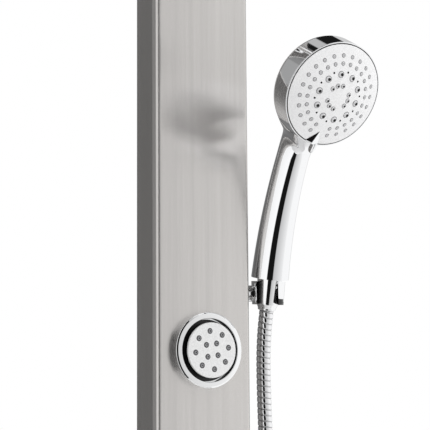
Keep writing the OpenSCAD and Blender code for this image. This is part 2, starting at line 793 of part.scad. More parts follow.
panel_shell();
top_cap();
bottom_cap();
wall_bracket(fixing_z);  // wall_bracket_top
wall_bracket(-fixing_z);  // wall_bracket_bottom
hang_rail(fixing_z);  // hang_rail_top
hang_rail(-fixing_z);  // hang_rail_bottom
on_front(jet_zs[0]) jet_ring();  // jet_ring_top
on_front(jet_zs[1]) jet_ring();  // jet_ring_middle
on_front(jet_zs[2]) jet_ring();  // jet_ring_bottom
jet_housings();
jet_retainers();
jet_lock_nuts();
on_front(jet_zs[0]) jet_seat();  // jet_seat_top
on_front(jet_zs[1]) jet_seat();  // jet_seat_middle
on_front(jet_zs[2]) jet_seat();  // jet_seat_bottom
on_front(jet_zs[0]) jet_face();  // jet_face_top
on_front(jet_zs[1]) jet_face();  // jet_face_middle
on_front(jet_zs[2]) jet_face();  // jet_face_bottom
on_front(jet_zs[0]) jet_nozzles();  // jet_nozzles_top
on_front(jet_zs[1]) jet_nozzles();  // jet_nozzles_middle
on_front(jet_zs[2]) jet_nozzles();  // jet_nozzles_bottom
jet_manifold();
riser_pipe();
handset_pipe();
mixed_water_pipe();
mixer_body();
mixer_cartridge();
mixer_plate();
mixer_cap();
mixer_lever();
lever_pin();
inlet(-1);  // inlet_hot
inlet(1);  // inlet_cold
diverter_body();
diverter_plate();
diverter_spindle();
diverter_knob();
arm_elbow();
arm_rose();
rain_arm();
rain_ball_stud();
rain_seat();
swivel_nut();
rain_cover();
rain_plate();
rain_nozzles();
handset_holder();
holder_screw();
handset_body();
handset_rim();
spray_face();
selector_lever();
spray_nozzles();
spray_jets();
hose();
hose_nut_upper();
hose_nut_lower();
hose_outlet();
outlet_locknut();
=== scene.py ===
# %% [markdown]
# # A rainfall shower column, finished in Blender
# The column is a slim folded steel panel for a shower wall. It carries a rain head on an arm,
# three swivelling body jets, a diverter, a single-lever mixer, and a hand shower whose steel
# hose hangs in a loop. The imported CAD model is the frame: it says where everything is and
# what moves. This lesson adds the camera, the light, the finishes, and the pieces whose
# shape deserves more care than the CAD gives them.

# %% Load the frame
import json
import math

import bmesh
import bpy
import numpy as np
from mathutils import Matrix, Vector


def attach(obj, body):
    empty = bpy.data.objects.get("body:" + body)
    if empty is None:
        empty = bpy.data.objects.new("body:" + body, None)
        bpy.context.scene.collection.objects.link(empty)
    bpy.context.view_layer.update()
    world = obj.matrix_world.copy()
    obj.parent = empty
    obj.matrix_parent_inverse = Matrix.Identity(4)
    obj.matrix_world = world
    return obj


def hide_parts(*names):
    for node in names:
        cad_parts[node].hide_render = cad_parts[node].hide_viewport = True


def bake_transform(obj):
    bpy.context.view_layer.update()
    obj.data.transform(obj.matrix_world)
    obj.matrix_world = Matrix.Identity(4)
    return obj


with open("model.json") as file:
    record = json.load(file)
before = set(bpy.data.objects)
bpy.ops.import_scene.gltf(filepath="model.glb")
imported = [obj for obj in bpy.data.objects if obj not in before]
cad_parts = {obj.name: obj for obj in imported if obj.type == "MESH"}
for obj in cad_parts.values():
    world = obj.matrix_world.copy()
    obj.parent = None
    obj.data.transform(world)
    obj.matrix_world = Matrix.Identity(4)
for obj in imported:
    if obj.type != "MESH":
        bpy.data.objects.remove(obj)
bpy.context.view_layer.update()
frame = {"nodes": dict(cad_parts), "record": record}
scene = bpy.context.scene
MM = 0.001

# %% [markdown]
# ## The camera
# A long lens from a little more than a metre away keeps the panel's edges almost parallel.
# The camera stands to the left of the column, a little below the hand shower, and looks up
# slightly. We build its axes from two angles and a small roll, so no aiming is needed.

# %% Camera
CAMERA_AT = Vector((-0.6599, -1.1617, 0.1212))
CAMERA_TURN = math.radians(-30.91)
CAMERA_TILT = math.radians(-6.85)
CAMERA_ROLL = -0.00667
CAMERA_LENS = 115.92

out_of_view = Vector((math.sin(CAMERA_TURN) * math.cos(CAMERA_TILT),
                      -math.cos(CAMERA_TURN) * math.cos(CAMERA_TILT),
                      math.sin(CAMERA_TILT)))
level_right = Vector((math.cos(CAMERA_TURN), math.sin(CAMERA_TURN), 0))
level_up = out_of_view.cross(level_right)
right = math.cos(CAMERA_ROLL) * level_right + math.sin(CAMERA_ROLL) * level_up
up = out_of_view.cross(right)
camera = bpy.data.objects.new("camera", bpy.data.cameras.new("camera"))
scene.collection.objects.link(camera)
camera.matrix_world = (Matrix.Translation(CAMERA_AT)
                       @ Matrix((right, up, out_of_view)).transposed().to_4x4())
camera.data.sensor_width = 36
camera.data.lens = CAMERA_LENS
camera.data.clip_end = 20
scene.camera = camera
print("camera at", [round(v, 3) for v in CAMERA_AT])

# %% [markdown]
# ## Helpers for materials
# A finish is a small node tree round one Principled shader. `finish` makes the material and
# sets what is the same all over on the shader's own sockets, and `node` adds a node and sets
# its inputs in one line. Effects that several finishes share are node groups, made once.

# %% Material helpers
def node(tree, kind, settings=(), **inputs):
    """Adds a node; settings are its own properties and inputs are its sockets' values."""
    made = tree.nodes.new(kind)
    for key, value in dict(settings).items():
        setattr(made, key, value)
    for key, value in inputs.items():
        made.inputs[key.replace("_", " ")].default_value = value
    return made


def finish(name, colour, metallic, roughness, **more):
    """A new material; returns it with its tree and its shader."""
    material = bpy.data.materials.new(name)
    material.use_nodes = True
    tree = material.node_tree
    shader = tree.nodes["Principled BSDF"]
    shader.inputs["Base Color"].default_value = (*colour, 1)
    shader.inputs["Metallic"].default_value = metallic
    shader.inputs["Roughness"].default_value = roughness
    for key, value in more.items():
        shader.inputs[key.replace("_", " ")].default_value = value
    return material, tree, shader


# %% [markdown]
# A shader node group works like a small machine: it takes a place in space and a few sizes,
# and puts out masks. Every group here reads Object coordinates, so a pattern keeps its real
# size on a piece of any shape.

# %% Group helpers
def shader_group(name, inputs, outputs):
    """A new shader node group with float inputs, a vector input and float outputs."""
    group = bpy.data.node_groups.new(name, "ShaderNodeTree")
    group.interface.new_socket("Vector", in_out="INPUT", socket_type="NodeSocketVector")
    for label, value in inputs.items():
        socket = group.interface.new_socket(label, in_out="INPUT", socket_type="NodeSocketFloat")
        socket.default_value = value
    for label in outputs:
        group.interface.new_socket(label, in_out="OUTPUT", socket_type="NodeSocketFloat")
    return group, group.nodes.new("NodeGroupInput"), group.nodes.new("NodeGroupOutput")


def place_group(tree, group, **values):
    """Puts a group in a material, fed with Object coordinates."""
    made = tree.nodes.new("ShaderNodeGroup")
    made.node_tree = group
    for key, value in values.items():
        made.inputs[key.replace("_", " ")].default_value = value
    where = tree.nodes.new("ShaderNodeTexCoord")
    tree.links.new(where.outputs["Object"], made.inputs["Vector"])
    return made


# %% [markdown]
# Four more helpers write arithmetic, ramps, colour mixes and bumps as one line each, so that
# a finish can be read from top to bottom.

# %% Value helpers
def math_node(tree, operation, *values):
    """A Math node; a value is a number or another node's output."""
    made = node(tree, "ShaderNodeMath", {"operation": operation})
    for socket, value in zip(made.inputs, values):
        if isinstance(value, (int, float)):
            socket.default_value = value
        else:
            tree.links.new(value, socket)
    return made.outputs["Value"]


def ramp_between(tree, factor, low, high):
    """A value that runs from low to high as the factor runs from 0 to 1."""
    made = node(tree, "ShaderNodeMapRange", To_Min=low, To_Max=high)
    tree.links.new(factor, made.inputs["Value"])
    return made.outputs["Result"]


def blend_colours(tree, factor, low, high):
    """A colour that runs from low to high as the factor runs from 0 to 1."""
    made = node(tree, "ShaderNodeMix", {"data_type": "RGBA"})
    made.inputs[6].default_value = (*low, 1)
    made.inputs[7].default_value = (*high, 1)
    tree.links.new(factor, made.inputs["Factor"])
    return made.outputs[2]


def bump_from(tree, shader, height, strength, distance):
    made = node(tree, "ShaderNodeBump", Strength=strength, Distance=distance)
    tree.links.new(height, made.inputs["Height"])
    tree.links.new(made.outputs["Normal"], shader.inputs["Normal"])


# %% [markdown]
# ## Effects that several finishes share
# Brushed steel is steel drawn under an abrasive belt, so its scratches all run one way: we
# stretch a noise a hundredfold along the panel. Moulded plastic and rubber have the fine
# grain of their mould. Polished chrome picks up faint water marks, which only change how
# rough it is. Each effect is a group that puts out plain values.

# %% Shared effects
def make_brushed_lines():
    group, start, end = shader_group(
        "brushed_lines", {"Across": 1500.0, "Along": 9.0}, ["Lines", "Bands"])
    stretch = group.nodes.new("ShaderNodeCombineXYZ")
    for axis, source in zip("XYZ", ("Across", "Across", "Along")):
        group.links.new(start.outputs[source], stretch.inputs[axis])
    scaled = node(group, "ShaderNodeVectorMath", {"operation": "MULTIPLY"})
    group.links.new(start.outputs["Vector"], scaled.inputs[0])
    group.links.new(stretch.outputs["Vector"], scaled.inputs[1])
    fine = node(group, "ShaderNodeTexNoise", Scale=1.0, Detail=4.0, Roughness=0.7)
    broad = node(group, "ShaderNodeTexNoise", Scale=0.09, Detail=3.0, Roughness=0.6)
    for noise, label in ((fine, "Lines"), (broad, "Bands")):
        group.links.new(scaled.outputs["Vector"], noise.inputs["Vector"])
        spread = node(group, "ShaderNodeMapRange", From_Min=0.25, From_Max=0.75)
        group.links.new(noise.outputs["Fac"], spread.inputs["Value"])
        group.links.new(spread.outputs["Result"], end.inputs[label])
    return group


def make_mould_grain():
    group, start, end = shader_group("mould_grain", {"Grain": 900.0}, ["Speckle", "Height"])
    fine = node(group, "ShaderNodeTexNoise", Detail=3.0, Roughness=0.65)
    cells = node(group, "ShaderNodeTexVoronoi", {"feature": "SMOOTH_F1"})
    for noise in (fine, cells):
        group.links.new(start.outputs["Vector"], noise.inputs["Vector"])
        group.links.new(start.outputs["Grain"], noise.inputs["Scale"])
    spread = node(group, "ShaderNodeMapRange", From_Min=0.3, From_Max=0.7)
    group.links.new(fine.outputs["Fac"], spread.inputs["Value"])
    group.links.new(spread.outputs["Result"], end.inputs["Speckle"])
    group.links.new(cells.outputs["Distance"], end.inputs["Height"])
    return group


def make_water_marks():
    group, start, end = shader_group("water_marks", {"Size": 40.0}, ["Marks"])
    film = node(group, "ShaderNodeTexNoise", Detail=5.0, Roughness=0.6, Distortion=0.6)
    group.links.new(start.outputs["Vector"], film.inputs["Vector"])
    group.links.new(start.outputs["Size"], film.inputs["Scale"])
    patches = node(group, "ShaderNodeMapRange", From_Min=0.45, From_Max=0.8)
    group.links.new(film.outputs["Fac"], patches.inputs["Value"])
    group.links.new(patches.outputs["Result"], end.inputs["Marks"])
    return group


brushed_lines = make_brushed_lines()
mould_grain = make_mould_grain()
water_marks = make_water_marks()
print("shared effects:", brushed_lines.name, mould_grain.name, water_marks.name)

# %% [markdown]
# ## Metal
# Brushed steel needs three things: lines in its colour, lines in its roughness, and a
# reflection that smears across the lines. The Anisotropic socket gives the smear, and a
# Tangent node that turns about Z keeps it level on every upright face. The two side walls
# face away from the light, so they are drawn darker.

# %% Brushed steel
WALL_SHADES = [                             # side of the panel, X of a normal there, tone
    (1, 0.25, 0.8, 0.41), (-1, 0.993, 0.999, 0.76)]


def brushed_steel(name, dark, light, along=9.0, smear=0.75):
    """Steel with vertical brush lines; a painted reflection darkens it a little to the left, and
    painted shade darkens its side walls.
    """
    material, tree, shader = finish(name, light, 0.82, 0.22, Anisotropic=smear)
    lines = place_group(tree, brushed_lines, Along=along)
    where = tree.nodes.new("ShaderNodeTexCoord")
    apart = node(tree, "ShaderNodeSeparateXYZ")
    tree.links.new(where.outputs["Object"], apart.inputs["Vector"])
    # Painted reflection: the colour runs darker to the left across the panel.
    across = node(tree, "ShaderNodeMapRange", From_Min=-0.05, From_Max=0.05)
    tree.links.new(apart.outputs["X"], across.inputs["Value"])
    mixed = math_node(tree, "MULTIPLY", lines.outputs["Lines"], 0.35)
    for source, share in ((lines.outputs["Bands"], 0.35), (across.outputs["Result"], 0.3)):
        mixed = math_node(tree, "MULTIPLY_ADD", source, share, mixed)

    # Painted shade: each side wall is drawn darker by the way it faces.
    facing = node(tree, "ShaderNodeSeparateXYZ")
    tree.links.new(where.outputs["Normal"], facing.inputs["Vector"])
    drawn = blend_colours(tree, mixed, dark, light)
    for side, begins, ends, tone in WALL_SHADES:
        wall = node(tree, "ShaderNodeMapRange", From_Min=begins, From_Max=ends)
        tree.links.new(math_node(tree, "MULTIPLY", facing.outputs["X"], side),
                       wall.inputs["Value"])
        shaded = node(tree, "ShaderNodeMix", {"data_type": "RGBA", "blend_type": "MULTIPLY"})
        shaded.inputs[7].default_value = (tone, tone, tone, 1)
        tree.links.new(wall.outputs["Result"], shaded.inputs["Factor"])
        tree.links.new(drawn, shaded.inputs[6])
        drawn = shaded.outputs[2]
    tree.links.new(drawn, shader.inputs["Base Color"])
    tree.links.new(ramp_between(tree, lines.outputs["Lines"], 0.19, 0.25),
                   shader.inputs["Roughness"])
    around = tree.nodes.new("ShaderNodeTangent")
    around.direction_type = "RADIAL"
    around.axis = "Z"
    tree.links.new(around.outputs["Tangent"], shader.inputs["Tangent"])
    bump_from(tree, shader, lines.outputs["Lines"], 0.12, 0.00002)
    return material


# %% [markdown]
# Chrome is nearly a mirror, so what it shows is the room, and only its film of water marks
# is drawn. Turned brass and rolled steel are duller, with a cloudy colour from the machine.

# %% Metal finishes
def polished(name, colour, smooth=0.035, filmed=0.085):
    """A mirror finish whose roughness varies with a faint film."""
    material, tree, shader = finish(name, colour, 1.0, smooth)
    marks = place_group(tree, water_marks)
    tree.links.new(ramp_between(tree, marks.outputs["Marks"], smooth, filmed),
                   shader.inputs["Roughness"])
    return material


def turned_metal(name, dark, light, rough):
    """A machined or rolled metal that isn't polished."""
    material, tree, shader = finish(name, light, 1.0, rough)
    marks = place_group(tree, water_marks, Size=90.0)
    tree.links.new(blend_colours(tree, marks.outputs["Marks"], light, dark),
                   shader.inputs["Base Color"])
    tree.links.new(ramp_between(tree, marks.outputs["Marks"], rough, rough + 0.15),
                   shader.inputs["Roughness"])
    return material


panel_steel = brushed_steel("brushed_panel", (0.56, 0.542, 0.528), (0.77, 0.746, 0.725))
plain_steel = turned_metal("rolled_steel", (0.42, 0.42, 0.43), (0.6, 0.6, 0.6), 0.3)
chrome = polished("chrome_plate", (0.93, 0.935, 0.94))
shell_chrome = polished("chrome_on_plastic", (0.93, 0.935, 0.945), 0.03, 0.07)
brass = turned_metal("turned_brass", (0.5, 0.36, 0.16), (0.78, 0.6, 0.32), 0.22)
print("metals:", panel_steel.name, plain_steel.name, chrome.name, shell_chrome.name, brass.name)

# %% [markdown]
# Plastics and rubber are not metals: their colour is their own and their shine is a thin
# reflection on top. The same grain group serves the satin white jets, the pearly spray
# disc, black housings and the soft nozzles, each with its own size and depth.

# %% Plastic and rubber finishes
def moulded(name, dark, light, rough, grain=900.0, depth=0.15, **more):
    """A moulded plastic or rubber with a fine speckle and the grain of its mould."""
    material, tree, shader = finish(name, light, 0.0, rough, **more)
    texture = place_group(tree, mould_grain, Grain=grain)
    tree.links.new(blend_colours(tree, texture.outputs["Speckle"], dark, light),
                   shader.inputs["Base Color"])
    tree.links.new(ramp_between(tree, texture.outputs["Speckle"], rough - 0.05, rough + 0.05),
                   shader.inputs["Roughness"])
    bump_from(tree, shader, texture.outputs["Height"], depth, 0.00008)
    return material


def nozzle_rubber(name, ring, nub, mouth):
    """Soft rubber in three tones: the ring on the face, the raised nub and its mouth; the ring's
    dark tone is partly painted shade of the gap round the nub, and the mouth's is painted shade in
    its hole.
    """
    material, tree, shader = finish(name, ring, 0.0, 0.45)
    texture = place_group(tree, mould_grain, Grain=2500.0)
    zone = node(tree, "ShaderNodeAttribute", {"attribute_name": "zone"})
    # Painted shade: the ring is partly, and the mouth wholly, drawn dark for the shade round and in
    # the nub.
    tones = tree.nodes.new("ShaderNodeValToRGB")
    tones.color_ramp.interpolation = "CONSTANT"
    tones.color_ramp.elements.new(0.5)
    for stop, place, tone in zip(tones.color_ramp.elements, (0.0, 0.25, 0.75), (ring, nub, mouth)):
        stop.position = place
        stop.color = (*tone, 1)
    tree.links.new(zone.outputs["Fac"], tones.inputs["Fac"])
    tree.links.new(tones.outputs["Color"], shader.inputs["Base Color"])
    tree.links.new(ramp_between(tree, texture.outputs["Speckle"], 0.38, 0.52),
                   shader.inputs["Roughness"])
    bump_from(tree, shader, texture.outputs["Height"], 0.2, 0.00005)
    return material


white_plastic = moulded("satin_white", (0.72, 0.72, 0.72), (0.9, 0.9, 0.9), 0.34)
pearl_plastic = moulded("pearl_grey", (0.72, 0.72, 0.725), (0.95, 0.95, 0.955), 0.3,
                        grain=1500.0, Coat_Weight=0.3)
black_plastic = moulded("black_plastic", (0.004, 0.004, 0.004), (0.012, 0.012, 0.012), 0.35)
seal_rubber = moulded("seal_rubber", (0.01, 0.01, 0.01), (0.03, 0.03, 0.03), 0.6)
small_rubber = nozzle_rubber("small_nozzle_rubber", (0.2, 0.2, 0.205), (0.62, 0.62, 0.63),
                             (0.4, 0.4, 0.41))
jet_rubber = nozzle_rubber("jet_nozzle_rubber", (0.2, 0.2, 0.205), (0.75, 0.75, 0.76),
                           (0.003, 0.003, 0.003))
body_jet_rubber = nozzle_rubber("body_jet_rubber", (0.07, 0.07, 0.075), (0.3, 0.3, 0.31),
                                (0.03, 0.03, 0.032))
print("plastics:", white_plastic.name, pearl_plastic.name, black_plastic.name)

# %% [markdown]
# The hose is wound from a profiled steel strip. Its grooves stay dark because the crimped
# seam shades itself and holds a little lime, so the finish reads the `groove` attribute that
# the hose's own node tree stores.

# %% Hose finish
def hose_steel():
    material, tree, shader = finish("hose_steel", (0.85, 0.85, 0.86), 1.0, 0.12)
    groove = node(tree, "ShaderNodeAttribute", {"attribute_name": "groove"})
    tree.links.new(blend_colours(tree, groove.outputs["Fac"], (0.9, 0.9, 0.91), (0.3, 0.3, 0.305)),
                   shader.inputs["Base Color"])
    tree.links.new(ramp_between(tree, groove.outputs["Fac"], 0.1, 0.4), shader.inputs["Roughness"])
    return material


hose_finish = hose_steel()
print("hose finish:", hose_finish.name)

# %% [markdown]
# ## Helpers for pieces
# `new_piece` makes an object at the origin with its place in its mesh. `settle` turns live
# modifiers into a plain mesh. `fit` gives a finished piece its material and its body, and
# hides the CAD nodes it stands for.

# %% Piece helpers
def new_piece(name, points, faces, edges=()):
    mesh = bpy.data.meshes.new(name)
    mesh.from_pydata([tuple(p) for p in points], list(edges), faces)
    mesh.update()
    made = bpy.data.objects.new(name, mesh)
    scene.collection.objects.link(made)
    return made


def settle(obj):
    """Replaces an object's mesh with what its modifiers make of it, and removes them."""
    bpy.context.view_layer.update()
    depsgraph = bpy.context.evaluated_depsgraph_get()
    mesh = bpy.data.meshes.new_from_object(obj.evaluated_get(depsgraph), depsgraph=depsgraph,
                                           preserve_all_data_layers=True)
    obj.modifiers.clear()
    obj.data = mesh
    return obj


def shade(obj, crease=35):
    """Smooth shading with sharp creases; weighted normals keep flat faces flat."""
    obj.data.polygons.foreach_set("use_smooth", [True] * len(obj.data.polygons))
    obj.data.set_sharp_from_angle(angle=math.radians(crease))
    weigh = obj.modifiers.new("weighted", "WEIGHTED_NORMAL")
    weigh.keep_sharp = True
    return settle(obj)


def outwards(obj):
    """Turns every face of a closed mesh to point outwards."""
    mesh = bmesh.new()
    mesh.from_mesh(obj.data)
    bmesh.ops.recalc_face_normals(mesh, faces=mesh.faces)
    mesh.to_mesh(obj.data)
    mesh.free()
    return obj


def fit(obj, material, body, slot, *nodes):
    """Gives a finished piece its material and its body, and hides the CAD nodes it replaces. The
    slot is not used.
    """
    obj.data.materials.clear()
    obj.data.materials.append(material)
    if body:
        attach(obj, body)
    if nodes:
        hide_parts(*nodes)
    print(f"{obj.name}: {len(obj.data.polygons)} faces on {body}")
    return obj


# %% [markdown]
# ## Helpers for Geometry Nodes
# A tree takes named inputs, so that one tree serves many pieces. A modifier's input is set
# by the socket's identifier, and `run_tree` looks that up from the name.

# %% Geometry Nodes helpers
def new_tree(name, inputs):
    """A geometry tree with a Geometry input and output and the named inputs given."""
    tree = bpy.data.node_groups.new(name, "GeometryNodeTree")
    tree.interface.new_socket("Geometry", in_out="INPUT", socket_type="NodeSocketGeometry")
    for label, (kind, value) in inputs.items():
        socket = tree.interface.new_socket(label, in_out="INPUT", socket_type="NodeSocket" + kind)
        if value is not None:
            socket.default_value = value
    tree.interface.new_socket("Geometry", in_out="OUTPUT", socket_type="NodeSocketGeometry")
    return tree, tree.nodes.new("NodeGroupInput"), tree.nodes.new("NodeGroupOutput")


def finish_tree(tree, start, end, geometry):
    """Every tree ends the same way: real geometry with its material set."""
    real = tree.nodes.new("GeometryNodeRealizeInstances")
    coat = tree.nodes.new("GeometryNodeSetMaterial")
    tree.links.new(geometry, real.inputs["Geometry"])
    tree.links.new(real.outputs["Geometry"], coat.inputs["Geometry"])
    tree.links.new(start.outputs["Material"], coat.inputs["Material"])
    tree.links.new(coat.outputs["Geometry"], end.inputs["Geometry"])


def run_tree(obj, tree, **values):
    """Runs a tree on an object and keeps the result as a plain mesh."""
    modifier = obj.modifiers.new(tree.name, "NODES")
    modifier.node_group = tree
    sockets = {s.name: s.identifier for s in tree.interface.items_tree if s.in_out == "INPUT"}
    for key, value in values.items():
        modifier[sockets[key.replace("_", " ")]] = value
    return settle(obj)


# %% [markdown]
# ## Turned pieces
# Rings, plates, discs and covers are turned or moulded round an axis, so each is an outline
# spun round that axis. An outline point may carry a fillet, because a real edge is never
# perfectly sharp, and it's the fillet that catches the light. `front` places a piece that is
# built along +Z on the panel's front.

# %% Lathe
PANEL_D = 0.040


def front(z):
    """Millimetres along +Z from the panel's front, at height z in metres."""
    return (Matrix.Translation((0, -PANEL_D, z)) @ Matrix.Rotation(math.radians(90), 4, "X")
            @ Matrix.Scale(MM, 4))


def rounded(outline, steps=5):
    """The outline with an arc at each corner that carries a fillet radius."""
    smooth = []
    for i, (r, z, *fillet) in enumerate(outline):
        here = Vector((r, z))
        if not fillet:
            smooth.append(here)
            continue
        back = Vector(outline[i - 1][:2]) - here
        on = Vector(outline[(i + 1) % len(outline)][:2]) - here
        half = back.angle(on) / 2
        reach = min(fillet[0] / math.tan(half), 0.48 * back.length, 0.48 * on.length)
        between = (back.normalized() + on.normalized()).normalized()
        centre = here + between * (reach / math.cos(half))
        first = here + back.normalized() * reach - centre
        last = here + on.normalized() * reach - centre
        start = math.atan2(first.y, first.x)
        sweep = (math.atan2(last.y, last.x) - start + math.pi) % (2 * math.pi) - math.pi
        for k in range(steps + 1):
            angle = start + sweep * k / steps
            smooth.append(centre + first.length * Vector((math.cos(angle), math.sin(angle))))
    return smooth


def spin(outline, sides):
    """Points and faces of an outline spun round Z; it closes on the axis or on itself."""
    points, rings = [], []
    for r, z in outline:
        count = 1 if r < 1e-6 else sides
        rings.append(list(range(len(points), len(points) + count)))
        for k in range(count):
            angle = 2 * math.pi * k / sides
            points.append(Vector((r * math.cos(angle), r * math.sin(angle), z)))
    pairs = list(zip(rings, rings[1:]))
    if all(len(ring) > 1 for ring in rings):
        pairs.append((rings[-1], rings[0]))
    faces = []
    for a, b in pairs:
        for k in range(sides):
            corners = [a[k % len(a)], a[(k + 1) % len(a)], b[(k + 1) % len(b)], b[k % len(b)]]
            faces.append(list(dict.fromkeys(corners)))
    return points, faces


def lathe(name, outline, place, sides=128, steps=5, crease=35):
    points, faces = spin(rounded(outline, steps), sides)
    return shade(outwards(new_piece(name, [place @ p for p in points], faces)), crease)


# %% [markdown]
# ## The hand shower's frame
# The handset leans out of its holder and its head looks down at the bather. `head` is the
# head's own frame: +Z comes out of the spray face and +Y points to the top of the handset.
# `spray` is the same frame turned a little, because the spray disc turns on the head to
# change the pattern, and it rests part of a turn off centre.

# %% Hand shower frame
HANDSET_X = 0.076
GRIP_FOOT = Vector((-35.7, 220.4))          # Y and Z of the handle's lower end
FOOT_LEAN = math.radians(12)
FACE_TILT = math.radians(90 + 28.7)
SPRAY_TURN = math.radians(-10.4)
EDGE_AT = (HANDSET_X, -0.1458, 0.3818)      # middle of the face's edge
HEAD_R = 50.0
RIM_DEPTH = 22.0
FACE_R = 48.1
DOME_R = 135.0
DOME_DROP = math.sqrt(DOME_R ** 2 - FACE_R ** 2)

head = Matrix.Translation(EDGE_AT) @ Matrix.Rotation(FACE_TILT, 4, "X") @ Matrix.Scale(MM, 4)
spray = head @ Matrix.Rotation(SPRAY_TURN, 4, "Z")


def dome_at(r):
    """Height of the domed face at a distance from its middle."""
    return math.sqrt(DOME_R ** 2 - r ** 2) - DOME_DROP


print(f"the face bulges {dome_at(0):.2f} mm and looks {math.degrees(FACE_TILT) - 90:.1f} deg down")

# %% [markdown]
# ## The cone nut
# The nut at the top of the hose is a long cone that sits in the holder's cup. It's turned
# from brass, plated with chrome, and necks down to the hose with an eased edge.

# %% Cone nut
grip = (Matrix.Translation((HANDSET_X, GRIP_FOOT.x * MM, GRIP_FOOT.y * MM))
        @ Matrix.Rotation(FOOT_LEAN, 4, "X") @ Matrix.Scale(MM, 4))
CONE = [(5, 0), (12.2, 0, 0.4), (10.55, -25, 2), (8.8, -29.4, 1), (8.6, -31.2, 0.7), (5, -31.2)]
fit(lathe("hose_nut_cone", CONE, grip, 96), chrome, "handset", "chrome", "hose_nut_upper")

# %% [markdown]
# ## The hose
# A shower hose is 1.5 m long and 14 mm thick. It leaves the conical nut, falls beside the
# panel, turns in a hanging loop and comes up into the nut under the panel. Its route is a
# short list of points with a smooth curve through them. The outside is a strip wound in a
# helix, so one tree sweeps a circle along the route and then presses a groove into it: how
# far along the hose a point is, plus how far round it is, says where the groove runs.

# %% Hose route
HOSE_D = 0.014
HOSE_PITCH = 0.0056
HOSE_ROUTE = [
    (0.076, -0.0290, 0.1893), (0.076, -0.025, 0.169), (0.076, -0.023, 0.150),
    (0.076, -0.0225, 0.130), (0.076, -0.023, 0.110), (0.076, -0.024, 0.085),
    (0.076, -0.026, 0.050), (0.076, -0.027, 0.0), (0.077, -0.027, -0.070),
    (0.078, -0.026, -0.150), (0.080, -0.025, -0.230), (0.082, -0.024, -0.310),
    (0.084, -0.023, -0.390), (0.086, -0.022, -0.470), (0.088, -0.021, -0.550),
    (0.090, -0.020, -0.630), (0.092, -0.020, -0.710), (0.093, -0.020, -0.790),
    (0.094, -0.020, -0.850), (0.093, -0.020, -0.889), (0.087, -0.020, -0.917),
    (0.073, -0.020, -0.938), (0.053, -0.020, -0.951), (0.028, -0.020, -0.956),
    (0.003, -0.020, -0.951), (-0.017, -0.020, -0.938), (-0.031, -0.020, -0.917),
    (-0.037, -0.020, -0.889), (-0.038, -0.020, -0.850), (-0.038, -0.020, -0.805),
    (-0.036, -0.020, -0.755), (-0.034, -0.020, -0.712), (-0.034, -0.020, -0.6723),
]


def smooth_route(points, steps):
    """A smooth curve through the points: each span bends by its neighbours."""
    padded = [points[0]] + list(points) + [points[-1]]
    line = []
    for a, b, c, d in zip(padded, padded[1:], padded[2:], padded[3:]):
        a, b, c, d = (Vector(p) for p in (a, b, c, d))
        for k in range(steps):
            t = k / steps
            line.append(0.5 * (2 * b + (c - a) * t + (2 * a - 5 * b + 4 * c - d) * t ** 2
                               + (3 * b - a - 3 * c + d) * t ** 3))
    return line + [Vector(points[-1])]


hose_line = smooth_route(HOSE_ROUTE, 12)
hose_run = sum((b - a).length for a, b in zip(hose_line, hose_line[1:]))
print(f"hose route: {hose_run:.3f} m over {len(HOSE_ROUTE)} points")

